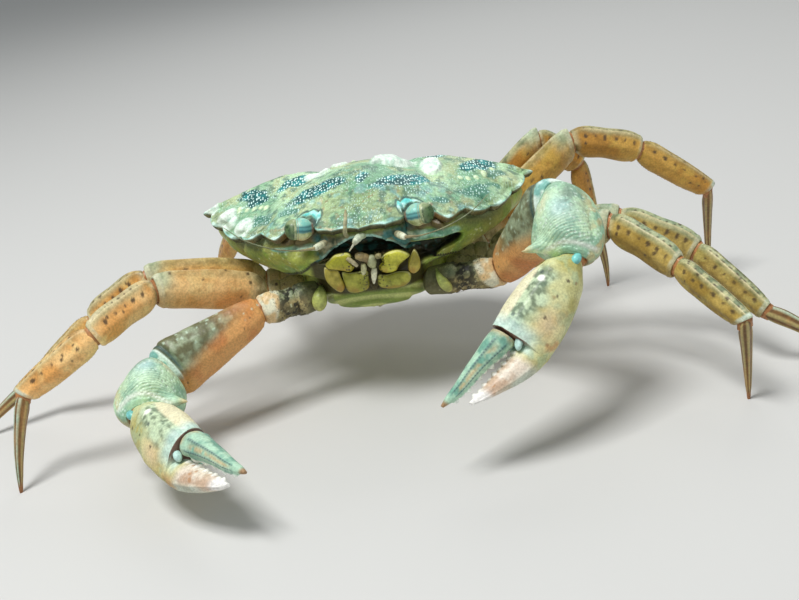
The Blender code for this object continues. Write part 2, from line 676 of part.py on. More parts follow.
def make_antenna(side, material):
    """A feeler with a stout foot beside the eye and a thin whip."""
    route = [place(mirrored(point, side)) for point in ANTENNA_ROUTE]
    rings = []
    for index, point in enumerate(route):
        along = unit(route[min(index + 1, len(route) - 1)] - route[max(index - 1, 0)])
        across, upper = ring_frame(along, (0.0, 0.0, 1.0))
        rings.append([point + (across * math.cos(a) + upper * math.sin(a)) * ANTENNA_WIDTHS[index] / 2
                      for a in np.arange(6) * 2 * math.pi / 6])
    points, faces = loft(rings)
    finish("antenna_" + side, points, faces, material, route[0])


def plate_points(inner, outer, top, bottom, proud):
    """A rounded plate that lies on the mouth field."""
    rings = []
    middle = ((inner + outer) / 2, (top + bottom) / 2)
    half = ((outer - inner) / 2, (top - bottom) / 2)
    for depth, grow in ((0.0, 0.97), (0.55, 1.0), (1.0, 0.72)):
        ring = []
        for index in range(12):
            angle = 2 * math.pi * index / 12
            x = middle[0] + half[0] * grow * math.copysign(abs(math.cos(angle)) ** 0.6, math.cos(angle))
            z = middle[1] + half[1] * grow * math.copysign(abs(math.sin(angle)) ** 0.6, math.sin(angle))
            y = mouth_plane(z) - GAP - proud * depth
            ring.append((x, y, z))
        rings.append(ring)
    return rings


def make_mouth_leg(side, material):
    """The outer mouth-leg: two plates, a strip beside them and a bent palp, as one node."""
    nodes = []
    for index, plate in enumerate(MOUTH_PLATES):
        rings = [[place(mirrored(point, side)) for point in ring] for ring in plate_points(*plate)]
        points, faces = loft(rings)
        if index == 0:
            base = finish("maxilliped_" + side, points, faces, material, rings[0][0])
        else:
            nodes.append(added_piece("plate", points, faces, base))
    route = []
    for x, z in PALP_ROUTE:
        route.append(place(mirrored((x, mouth_plane(z) - GAP - PALP_STANDS_OUT, z), side)))
    rings = []
    for index, width in enumerate(PALP_WIDTHS):
        along = unit(route[min(index + 1, len(route) - 1)] - route[max(index - 1, 0)])
        across, upper = ring_frame(along, (0.0, -1.0, 0.0))
        rings.append([route[index] + (across * math.cos(a) + upper * math.sin(a)) * width / 2
                      for a in np.arange(8) * 2 * math.pi / 8])
    points, faces = loft(rings)
    nodes.append(added_piece("palp", points, faces, base))
    fuse(base, nodes)


def make_head():
    """Eyes, feelers and outer mouth-legs."""
    eye = surface("eye_glass", (0.10, 0.10, 0.07), 0.15)
    feeler = surface("feeler", (0.34, 0.32, 0.18), 0.5)
    mouth = surface("mouth_yellow", (0.42, 0.38, 0.08), 0.45)
    for side in ("left", "right"):
        make_eye(side, eye)
        make_antenna(side, feeler)
        make_mouth_leg(side, mouth)


for leftover in list(bpy.data.objects):
    bpy.data.objects.remove(leftover)
CRAB = bpy.data.collections.new("shore_crab")
bpy.context.scene.collection.children.link(CRAB)
ROOT = bpy.data.objects.new("shore_crab_stand_point", None)
CRAB.objects.link(ROOT)
make_carapace()
make_thorax()
make_abdomen()
make_head()
make_claws()
make_walking_legs()
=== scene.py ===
import math
import bpy
import numpy as np
from mathutils import Matrix, Vector


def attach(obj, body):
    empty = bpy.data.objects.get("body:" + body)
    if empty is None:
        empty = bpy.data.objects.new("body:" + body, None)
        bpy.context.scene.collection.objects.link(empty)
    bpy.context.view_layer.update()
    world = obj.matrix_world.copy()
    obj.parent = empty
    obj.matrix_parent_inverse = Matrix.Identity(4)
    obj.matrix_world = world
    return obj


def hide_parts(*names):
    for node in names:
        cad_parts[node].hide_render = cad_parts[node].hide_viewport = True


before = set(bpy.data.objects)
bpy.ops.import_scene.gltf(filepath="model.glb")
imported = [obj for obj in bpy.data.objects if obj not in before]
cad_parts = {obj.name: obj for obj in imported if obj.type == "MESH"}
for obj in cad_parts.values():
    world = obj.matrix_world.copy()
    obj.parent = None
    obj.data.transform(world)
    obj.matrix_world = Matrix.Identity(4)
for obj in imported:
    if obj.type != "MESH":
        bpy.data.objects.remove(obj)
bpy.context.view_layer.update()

# Sizes shared with the solids. A body unit is about the shell's width, and UNIT is its length in metres
SIDE_TEETH = ((0.247, -0.302), (0.322, -0.238), (0.396, -0.166), (0.464, -0.085), (0.507, 0.0))
SHELL_WIDTH = 0.066
UNIT = SHELL_WIDTH / (2 * SIDE_TEETH[-1][0])
MM = UNIT * 1000
# Room between two solids, and the body's height over the floor and its tilt
GAP = 0.0003 / UNIT
BODY_HEIGHT = 0.54
PITCH = math.radians(6.5)
# Moves the whole crab over the middle of the floor
CENTRE = np.array((-0.0169, 0.0478, 0.0))
UP = np.array((0.0, 0.0, 1.0))
SIDES = ("left", "right")
# Places on the shell's edge in plan. Rings farther in follow the smooth eye socket
FRONT_LOBES = ((0.0, -0.374), (0.075, -0.367))
FRONT_NOTCH = (0.039, -0.354)
ORBIT = ((0.116, -0.340), (0.130, -0.290), (0.166, -0.275), (0.214, -0.280))
ORBIT_SMOOTH = ((0.116, -0.340), (0.150, -0.336), (0.184, -0.328), (0.216, -0.316))
REAR_CORNER = (0.215, 0.345)
REAR_MIDDLE = (0.0, 0.368)
# Thickness of the edge, scale of the seam with the breast and rise of the back
SHELL_EDGE = 0.016
SEAM = 0.90
BACK_RISE = 0.105

# Speckles in a metre of a material, and the depth of its grains and pits in metres
SPECKLE_SIZE = 2600.0
BUMP_DEPTH = 0.0002


def place(points):
    """Body points to their place over the floor, in body units."""
    p = np.asarray(points, float)
    c, s = math.cos(PITCH), math.sin(PITCH)
    y = p[..., 1] * c + p[..., 2] * s
    z = -p[..., 1] * s + p[..., 2] * c + BODY_HEIGHT
    return np.stack((p[..., 0], y, z), -1)


def place_way(way):
    """Body direction to its direction over the floor."""
    return place(way) - place((0, 0, 0))


def unit(v):
    """Directions of length 1."""
    v = np.asarray(v, float)
    return v / np.linalg.norm(v, axis=-1, keepdims=True)


def lerp(a, b, t):
    """Mix of two colours by an amount per point."""
    t = np.clip(np.asarray(t, float), 0, 1)[..., None]
    return np.asarray(a, float) * (1 - t) + np.asarray(b, float) * t


def bump(d, width):
    """1 at distance 0, falling smoothly to nothing."""
    return np.exp(-(np.asarray(d) / width) ** 2)


def soft(x, low, high):
    """0 under low and 1 over high, with a smooth step between."""
    t = np.clip((np.asarray(x, float) - low) / (high - low), 0, 1)
    return t * t * (3 - 2 * t)


def fade(x, low, high):
    """1 under low and 0 over high, with a smooth step between."""
    return 1 - soft(x, low, high)


def within(x, low, high, down, end):
    """0 under low, 1 from high to down and 0 over end."""
    return soft(x, low, high) * fade(x, down, end)


def lattice(i, j, k, seed):
    """A fixed number from 0 to 1 for each place of whole numbers."""
    h = (i * 374761393 + j * 668265263 + k * 1442695041 + seed * 97463477) & 0xFFFFFFFF
    h = ((h ^ (h >> 13)) * 1274126177) & 0xFFFFFFFF
    return ((h ^ (h >> 16)) & 0xFFFFFF) / 16777215.0


def noise(p, size, seed):
    """Smooth noise from 0 to 1 with grains of this size, in millimetres."""
    q = np.asarray(p) / size + 1000.0
    i = np.floor(q).astype(np.int64)
    f = q - i
    f = f * f * (3 - 2 * f)
    total = 0.0
    for a in (0, 1):
        for b in (0, 1):
            for c in (0, 1):
                weight = ((f[..., 0] if a else 1 - f[..., 0]) * (f[..., 1] if b else 1 - f[..., 1])
                          * (f[..., 2] if c else 1 - f[..., 2]))
                total = total + weight * lattice(i[..., 0] + a, i[..., 1] + b, i[..., 2] + c, seed)
    return total


def rough(p, size, octaves, seed):
    """Noise of several grain sizes added up, from 0 to 1."""
    total, share, whole = 0.0, 1.0, 0.0
    for octave in range(octaves):
        total = total + noise(p, size / 2 ** octave, seed + octave) * share
        whole += share
        share *= 0.55
    return total / whole


def waver(p, size, octaves, seed):
    """The same noise, from -0.5 to 0.5."""
    return rough(p, size, octaves, seed) - 0.5


def cloud(p, size, octaves, seed, low, high):
    """Soft-edged blotches of that noise: 0 where it is under low, 1 where it is over high."""
    return soft(rough(p, size, octaves, seed), low, high)


def cells(p, size, seed):
    """Distance to the nearest of scattered dots, in cell widths, and a number for each dot."""
    q = np.asarray(p) / size + 1000.0
    i = np.floor(q).astype(np.int64)
    best = np.full(q.shape[:-1], 9.0)
    mark = np.zeros(q.shape[:-1])
    for a in (-1, 0, 1):
        for b in (-1, 0, 1):
            for c in (-1, 0, 1):
                n = (i[..., 0] + a, i[..., 1] + b, i[..., 2] + c)
                d = 0.0
                for axis in range(3):
                    spot = n[axis] + 0.15 + 0.7 * lattice(*n, seed + 11 * axis)
                    d = d + (q[..., axis] - spot) ** 2
                near = d < best
                best = np.where(near, d, best)
                mark = np.where(near, lattice(*n, seed + 77), mark)
    return np.sqrt(best), mark


def catmull(table, at):
    """Smooth values between the rows of a table whose first column rises."""
    t = np.array(table, float)
    x, y = t[:, 0], t[:, 1:]
    slope = np.gradient(y, x, axis=0)
    at = np.clip(np.asarray(at, float), x[0], x[-1])
    k = np.clip(np.searchsorted(x, at, side="right") - 1, 0, len(x) - 2)
    h = (x[k + 1] - x[k])[:, None]
    s = (at - x[k])[:, None] / h
    return ((2 * s ** 3 - 3 * s ** 2 + 1) * y[k] + (s ** 3 - 2 * s ** 2 + s) * h * slope[k]
            + (-2 * s ** 3 + 3 * s ** 2) * y[k + 1] + (s ** 3 - s ** 2) * h * slope[k + 1])


def normals(grid):
    """Outward normals of a closed grid of points: rows along, columns round."""
    n = np.cross(np.roll(grid, -1, 1) - np.roll(grid, 1, 1), np.gradient(grid, axis=0))
    return n / np.maximum(np.linalg.norm(n, axis=-1, keepdims=True), 1e-9)


def raised(grid, lift):
    """The grid moved out along its normals."""
    return grid + normals(grid) * lift[..., None]


def full_turn(count):
    """Angles round a limb, evenly spaced."""
    return np.linspace(0, 2 * math.pi, count, endpoint=False)


def end_caps(grid, tint):
    """The middle of each end of a grid, with the colour there."""
    return tuple((grid[at].mean(0), tint[at, 0]) for at in (0, -1))


def piece(name, grid, tint, material, nodes, caps, dots=None):
    """Builds a surface from a grid of points in body units and their colours, closed at its ends."""
    rows, cols = grid.shape[:2]
    points = grid.reshape(-1, 3)
    colours = np.broadcast_to(tint, grid.shape).reshape(-1, 3)
    r, c = np.meshgrid(np.arange(rows - 1), np.arange(cols), indexing="ij")
    n = (c + 1) % cols
    quads = np.stack((r * cols + c, r * cols + n, (r + 1) * cols + n, (r + 1) * cols + c), -1).reshape(-1, 4)
    around = np.arange(cols)
    after = (around + 1) % cols
    fans = []
    for end, cap in enumerate(caps):
        if cap is None:
            continue
        base = (rows - 1) * cols if end else 0
        ring = (base + around, base + after) if end else (base + after, base + around)
        fans.append(np.stack((*ring, np.full(cols, len(points))), -1))
        points = np.vstack((points, [cap[0]]))
        colours = np.vstack((colours, [cap[1]]))
    made = solid(name, points, quads, fans, colours, material, nodes)
    if dots is not None:
        values = np.zeros(len(points), np.float32)
        values[:rows * cols] = np.clip(dots, 0, 1).ravel()
        made.data.attributes.new("dots", "FLOAT", "POINT").data.foreach_set("value", values)


def solid(name, points, quads, fans, colours, material, nodes=()):
    """One visible piece from points, faces and colours, riding on the body and standing for its nodes."""
    tris = np.vstack(fans) if fans else np.zeros((0, 3), int)
    mesh = bpy.data.meshes.new(name)
    mesh.vertices.add(len(points))
    mesh.vertices.foreach_set("co", ((points + CENTRE) * UNIT).astype(np.float32).ravel())
    loops = np.concatenate((quads.ravel(), tris.ravel())).astype(np.int32)
    mesh.loops.add(len(loops))
    mesh.loops.foreach_set("vertex_index", loops)
    sizes = np.concatenate((np.full(len(quads), 4), np.full(len(tris), 3)))
    mesh.polygons.add(len(sizes))
    mesh.polygons.foreach_set("loop_start", (np.cumsum(sizes) - sizes).astype(np.int32))
    mesh.polygons.foreach_set("use_smooth", np.ones(len(sizes), bool))
    mesh.update(calc_edges=True)
    mesh.validate()
    layer = mesh.color_attributes.new("tint", "FLOAT_COLOR", "POINT")
    layer.data.foreach_set("color", np.c_[np.clip(colours, 0, 1), np.ones(len(colours))].astype(np.float32).ravel())
    mesh.materials.append(material)
    made = linked(name, mesh)
    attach(made, "root")
    if nodes:
        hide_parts(*nodes)
    return made


def linked(name, data):
    """A new object in the scene."""
    made = bpy.data.objects.new(name, data)
    bpy.context.scene.collection.objects.link(made)
    return made


def node(tree, kind, inputs, **settings):
    """A new shader node. Each input takes a value, or a link where an output is given."""
    made = tree.nodes.new("ShaderNode" + kind)
    for key, value in settings.items():
        setattr(made, key, value)
    for key, value in inputs.items():
        if isinstance(value, bpy.types.NodeSocket):
            tree.links.new(value, made.inputs[key])
        else:
            made.inputs[key].default_value = value
    return made


def shell_material(name, roughness, grain, grain_size, pit, pit_size, coat, speckle, coat_roughness=0.25):
    """Shell in the colours of its points, with fine speckles, pits and grains. Sizes are numbers in a metre."""
    m = bpy.data.materials.new(name)
    m.use_nodes = True
    t = m.node_tree
    shader = t.nodes["Principled BSDF"]
    tint = node(t, "Attribute", {}, attribute_name="tint")
    where = node(t, "TexCoord", {}).outputs["Object"]
    fine = node(t, "TexNoise", {"Scale": SPECKLE_SIZE, "Detail": 3.0, "Vector": where})
    level = node(t, "MapRange", {"From Min": 0.35, "From Max": 0.65, "To Min": 1.0 - speckle, "To Max": 1.0 + speckle,
                                 "Value": fine.outputs["Fac"]})
    scaled = node(t, "VectorMath", {0: tint.outputs["Color"], "Scale": level.outputs["Result"]}, operation="SCALE")
    pits = node(t, "TexVoronoi", {"Scale": pit_size, "Vector": where})
    grains = node(t, "TexNoise", {"Scale": grain_size, "Detail": 4.0, "Vector": where})
    pitted = node(t, "Bump", {"Strength": pit, "Distance": BUMP_DEPTH, "Height": pits.outputs["Distance"]},
                  invert=True)
    grained = node(t, "Bump", {"Strength": grain, "Distance": BUMP_DEPTH, "Height": grains.outputs["Fac"],
                               "Normal": pitted.outputs["Normal"]})
    for key, value in (("Roughness", roughness), ("Coat Weight", coat), ("Coat Roughness", coat_roughness),
                       ("Specular IOR Level", 0.32)):
        shader.inputs[key].default_value = value
    t.links.new(scaled.outputs["Vector"], shader.inputs["Base Color"])
    t.links.new(grained.outputs["Normal"], shader.inputs["Normal"])
    return m


def add_dots(material, size, colour):
    """Round pale dots over a material, as wide and as strong as the points' value asks for."""
    t = material.node_tree
    strength = node(t, "Attribute", {}, attribute_name="dots").outputs["Fac"]
    where = node(t, "TexCoord", {}).outputs["Object"]
    scatter = node(t, "TexVoronoi", {}, voronoi_dimensions="2D")
    scatter.inputs["Scale"].default_value = 1.0 / size
    scatter.inputs["Randomness"].default_value = 0.8
    # Longer from front to rear, as raised grains look from a low height
    stretch = node(t, "VectorMath", {0: where, 1: (1.0, 0.62, 1.0)}, operation="MULTIPLY")
    t.links.new(stretch.outputs["Vector"], scatter.inputs["Vector"])
    kind = node(t, "SeparateColor", {"Color": scatter.outputs["Color"]})
    reach = node(t, "MapRange", {"To Min": 0.16, "To Max": 0.33, "Value": kind.outputs["Red"]})
    radius = node(t, "Math", {0: reach.outputs["Result"], 1: strength}, operation="MULTIPLY")
    inside = node(t, "Math", {0: radius.outputs["Value"], 1: scatter.outputs["Distance"]}, operation="SUBTRACT")
    edge_step = node(t, "MapRange", {"From Min": -0.05, "From Max": 0.04, "Value": inside.outputs["Value"]})
    share = node(t, "Math", {0: edge_step.outputs["Result"], 1: strength}, operation="MULTIPLY", use_clamp=True)
    base = t.nodes["Principled BSDF"].inputs["Base Color"]
    # The colour mix has its factor in input 0, its colours in 6 and 7 and its result in output 2
    mix = node(t, "Mix", {7: (*colour, 1.0), 0: share.outputs["Value"], 6: base.links[0].from_socket},
               data_type="RGBA")
    t.links.new(mix.outputs[2], base)


# Roughness, depth and number of the grains and of the pits, coat and speckles
SHELL = shell_material("shell", 0.46, 0.46, 1700.0, 0.34, 1100.0, 0.12, 0.16)
LIMB = shell_material("limb", 0.46, 0.24, 1500.0, 0.20, 1200.0, 0.10, 0.14)
SMOOTH = shell_material("smooth", 0.40, 0.14, 1500.0, 0.10, 1000.0, 0.22, 0.12)
SKIN = shell_material("joint_skin", 0.5, 0.3, 2200.0, 0.2, 1500.0, 0.2, 0.15)
EYE_GLOSS = (0.42, 0.03, 3000.0, 0.06, 5200.0, 0.12, 0.06, 0.12)
GLASS = shell_material("eye_gloss", *EYE_GLOSS)
WET = shell_material("wet_bulb", *EYE_GLOSS)
DOT_SPACING = 0.00052
add_dots(SHELL, DOT_SPACING, (0.70, 0.98, 0.90))


def span(start, end, bulge, steps):
    """Points from start up to end along a bow."""
    start = np.asarray(start, float)
    end = np.asarray(end, float)
    across = end - start
    normal = np.array((-across[1], across[0]))
    share = np.arange(steps)[:, None] / steps
    return list(start + across * share - normal * bulge * 4 * share * (1 - share))


def half_edge(detail, orbit, steps):
    """Half of the carapace edge, from the middle of the front to the middle of the rear."""
    lobe_notch = np.array(FRONT_NOTCH) + (0, -0.012 * (1 - detail))
    points = span(FRONT_LOBES[0], lobe_notch, -0.12 * detail, steps)
    points += span(lobe_notch, FRONT_LOBES[1], -0.12 * detail, steps)
    hollow = list(np.array(ORBIT) * orbit + np.array(ORBIT_SMOOTH) * (1 - orbit)) + [np.array(SIDE_TEETH[0])]
    points += span(FRONT_LOBES[1], hollow[0], -0.1, steps)
    for start, end in zip(hollow, hollow[1:]):
        points += span(start, end, 0.08 * orbit, steps)
    for tooth, after in zip(SIDE_TEETH, SIDE_TEETH[1:]):
        along = unit(np.subtract(after, tooth))
        inward = np.array((-along[1], along[0]))
        notch = np.asarray(after) + inward * 0.026 - along * 0.012
        smooth_notch = np.asarray(after) - 0.2 * np.subtract(after, tooth)
        corner = notch * detail + smooth_notch * (1 - detail)
        points += span(tooth, corner, 0.11 * detail - 0.03, 2 * steps)
        points += span(corner, after, 0.0, steps)
    points += span(SIDE_TEETH[-1], REAR_CORNER, 0.03, 5 * steps)
    points += span(REAR_CORNER, (REAR_CORNER[0] - 0.04, REAR_MIDDLE[1] - 0.002), -0.15, steps)
    points += span((REAR_CORNER[0] - 0.04, REAR_MIDDLE[1] - 0.002), REAR_MIDDLE, 0.01, 3 * steps)
    return np.array(points + [np.array(REAR_MIDDLE)])


def edge(detail, orbit, steps):
    """The whole carapace edge in plan."""
    half = half_edge(detail, orbit, steps)
    return np.vstack((half, half[1:-1][::-1] * (-1, 1)))


def edge_height(x, y):
    """How high the carapace edge lies, against its side corners."""
    front = -0.012 * np.clip(-y / 0.3, 0, None) ** 1.5
    rear = -0.09 * np.clip(y / REAR_MIDDLE[1], 0, None) ** 1.2
    side = -0.038 * np.exp(-(((np.abs(x) - 0.375) / 0.085) ** 2)) * np.clip(-y / 0.05, 0, 1)
    # The first side tooth droops beside the eye and the last one lifts
    first = -0.018 * np.exp(-(((np.abs(x) - 0.247) / 0.030) ** 2)) * np.clip(-y / 0.28, 0, 1)
    last = 0.016 * np.exp(-(((np.abs(x) - 0.515) / 0.045) ** 2))
    return front + rear + side + first + last


def shell_swell(x, y):
    """Swellings of the back over its regions."""
    swell = 0.010 * np.exp(-((x / 0.11) ** 2 + ((y + 0.12) / 0.12) ** 2))
    swell += 0.008 * np.exp(-((x / 0.07) ** 2 + ((y - 0.14) / 0.09) ** 2))
    swell += 0.009 * np.exp(-(((np.abs(x) - 0.27) / 0.12) ** 2 + ((y - 0.03) / 0.13) ** 2))
    return swell - 0.008 * np.exp(-(((np.abs(x) - 0.13) / 0.03) ** 2 + ((y - 0.02) / 0.12) ** 2))


def shell_under(ring, share, clearance=0.0):
    """A ring on the underside of the shell."""
    x, y = ring[:, 0], ring[:, 1]
    z = edge_height(x / share, y / share) * share ** 2 + 0.03 * (1 - share ** 2) - SHELL_EDGE
    return np.column_stack((x, y, z - clearance))


def line_distance(x, y, route):
    """Distance in plan from points to a line through these places."""
    best = np.full(np.shape(x), 9.0)
    for (ax, ay), (bx, by) in zip(route, route[1:]):
        dx, dy = bx - ax, by - ay
        t = np.clip(((x - ax) * dx + (y - ay) * dy) / (dx * dx + dy * dy), 0, 1)
        best = np.minimum(best, np.hypot(x - ax - t * dx, y - ay - t * dy))
    return best


def along_path(u, v, path):
    """Distance to a path and the distance run along it, with the side that it lies on."""
    best = np.full(np.shape(u), 9.0)
    run = np.zeros(np.shape(u))
    hand = np.zeros(np.shape(u))
    covered = 0.0
    for (a, b), (c, d) in zip(path, path[1:]):
        length = math.hypot(c - a, d - b)
        share = np.clip(((u - a) * (c - a) + (v - b) * (d - b)) / length ** 2, 0, 1)
        gap = np.hypot(u - a - share * (c - a), v - b - share * (d - b))
        near = gap < best
        best = np.where(near, gap, best)
        run = np.where(near, covered + share * length, run)
        hand = np.where(near, np.sign((c - a) * (v - b) - (d - b) * (u - a)), hand)
        covered += length
    return best, run, hand


# Lines on the back, as places in plan: furrows, ridges and the rim of the eye sockets
GROOVES = (((0.085, 0.09), (0.095, 0.03), (0.13, -0.02), (0.19, -0.08), (0.215, -0.15)),
           ((0.06, 0.22), (0.07, 0.14), (0.085, 0.09)), ((0.0, -0.37), (0.0, -0.29), (0.035, -0.22)))
RIDGES = (((0.45, 0.008), (0.38, 0.028), (0.30, 0.030), (0.24, 0.012)), ((0.05, -0.228), (0.12, -0.218)),
          ((0.16, -0.185), (0.20, -0.19)))
ORBIT_RIM = ((0.118, -0.318), (0.112, -0.297), (0.117, -0.272), (0.133, -0.256), (0.150, -0.252), (0.164, -0.255),
             (0.176, -0.261))
# Half width of the turquoise crescent over each eye, by the distance along that rim
CRESCENT = ((0.0, 0.0), (0.018, 0.0042), (0.038, 0.0078), (0.050, 0.0080), (0.070, 0.0060), (0.086, 0.0036),
            (0.096, 0.0020), (0.106, 0.0))
# Patches of the back, each with its place, half length, half width and turn in degrees
DARK_PATCHES = ((-0.330, -0.058, 0.070, 0.027, -38), (-0.208, -0.058, 0.058, 0.023, 16),
                (-0.115, -0.175, 0.100, 0.034, 3), (0.008, -0.169, 0.020, 0.031, 0),
                (0.126, -0.182, 0.100, 0.029, 18), (0.345, -0.034, 0.058, 0.026, 30),
                (0.208, 0.010, 0.045, 0.018, -16))
FAINT_PATCHES = ((0.338, -0.135, 0.066, 0.022, 34), (-0.300, -0.177, 0.046, 0.020, -44),
                 (0.40, -0.055, 0.03, 0.014, 40),
                 (-0.42, 0.03, 0.04, 0.02, 10), (0.23, -0.245, 0.03, 0.012, 20), (-0.21, -0.225, 0.03, 0.012, -20),
                 (-0.15, 0.11, 0.07, 0.024, -20), (0.15, 0.11, 0.07, 0.024, 20), (0.0, 0.20, 0.05, 0.030, 0),
                 (-0.32, 0.12, 0.065, 0.022, 35), (0.32, 0.12, 0.065, 0.022, -35), (-0.12, 0.28, 0.06, 0.018, -5),
                 (0.12, 0.28, 0.06, 0.018, 5))
WHITE_PATCHES = ((0.092, -0.042, 0.070, 0.045, 0), (0.208, -0.062, 0.034, 0.045, 0),
                 (-0.131, -0.039, 0.042, 0.022, 12),
                 (-0.070, 0.006, 0.030, 0.018, 15), (-0.476, 0.000, 0.026, 0.022, 0),
                 (-0.414, -0.090, 0.042, 0.030, -50), (-0.356, -0.156, 0.036, 0.028, -45))
# How far the first white crusts stand up
CRUSTS = (0.0195, 0.0090, 0.0090, 0.0070)
# Places of small pale knobs
KNOBS = ((0.290, -0.106), (0.312, -0.102), (0.336, -0.090), (0.360, -0.069), (0.385, -0.040), (-0.377, -0.078),
         (-0.350, -0.094), (-0.326, -0.108), (-0.304, -0.118), (-0.287, -0.128), (-0.20, 0.03), (0.24, 0.05),
         (0.27, 0.055), (-0.23, 0.05), (-0.26, 0.055), (0.03, 0.06), (-0.03, 0.06))


def patches(x, y, table, ragged):
    """Where the patches of a table lie. Each has its place, half length, half width and turn in degrees."""
    mask = np.zeros(x.shape)
    for px, py, a, b, turn in table:
        c, s = math.cos(math.radians(turn)), math.sin(math.radians(turn))
        dx, dy = x - px, y - py
        e = np.hypot((dx * c + dy * s) / a, (-dx * s + dy * c) / b) + ragged
        mask = np.maximum(mask, fade(e, 0.82, 1.12))
    return mask


def back_relief(x, y, share, mm):
    """Grooves, ridges, granules and the raised rim of the back."""
    ax = np.abs(x)
    h = np.zeros(x.shape)
    for route in GROOVES:
        h -= 0.0085 * bump(line_distance(ax, y, route), 0.016)
    grain, _ = cells(mm, 0.85, 3)
    granule = np.clip(1 - grain / 0.42, 0, 1)
    for route in RIDGES:
        near = bump(line_distance(ax, y, route), 0.013)
        h += 0.003 * near + 0.0016 * near * granule
    h += 0.0006 * granule * (0.4 + soft(ax, 0.25, 0.45) + soft(-y, 0.15, 0.3))
    for kx, ky in KNOBS:
        h += 0.0045 * bump(np.hypot(x - kx, y - ky), 0.0062)
    orbit_line = line_distance(ax, y, ORBIT_RIM)
    h += 0.0045 * bump(orbit_line, 0.007) - 0.0040 * bump(np.hypot(ax - 0.150, y + 0.281), 0.016)
    h += (0.0008 + 0.0022 * granule) * bump(share - 0.990, 0.006) * soft(0.02 - y, 0, 0.05)
    rear = soft(y, 0.10, 0.22)
    h += 0.0045 * bump(share - 0.972, 0.012) * rear - 0.0050 * bump(share - 0.935, 0.014) * rear
    h += (0.0070 * bump(np.hypot(x / 0.10, (y - 0.155) / 0.06), 0.8)
          + 0.0050 * bump(np.hypot((ax - 0.24) / 0.10, (y - 0.16) / 0.08), 0.8))
    h += 0.0060 * waver(mm, 8.0, 3, 4) + 0.0022 * waver(mm, 1.8, 3, 14)
    crusts = 0.2 * waver(mm, 1.2, 2, 24)
    h += 0.0030 * patches(x, y, WHITE_PATCHES[4:], crusts)
    for patch, raised in zip(WHITE_PATCHES, CRUSTS):
        h += raised * (0.88 + 0.24 * rough(mm, 1.6, 2, 25)) * patches(x, y, (patch,), crusts + 0.10)
    return h * soft(1.0 - share, -0.002, 0.006)


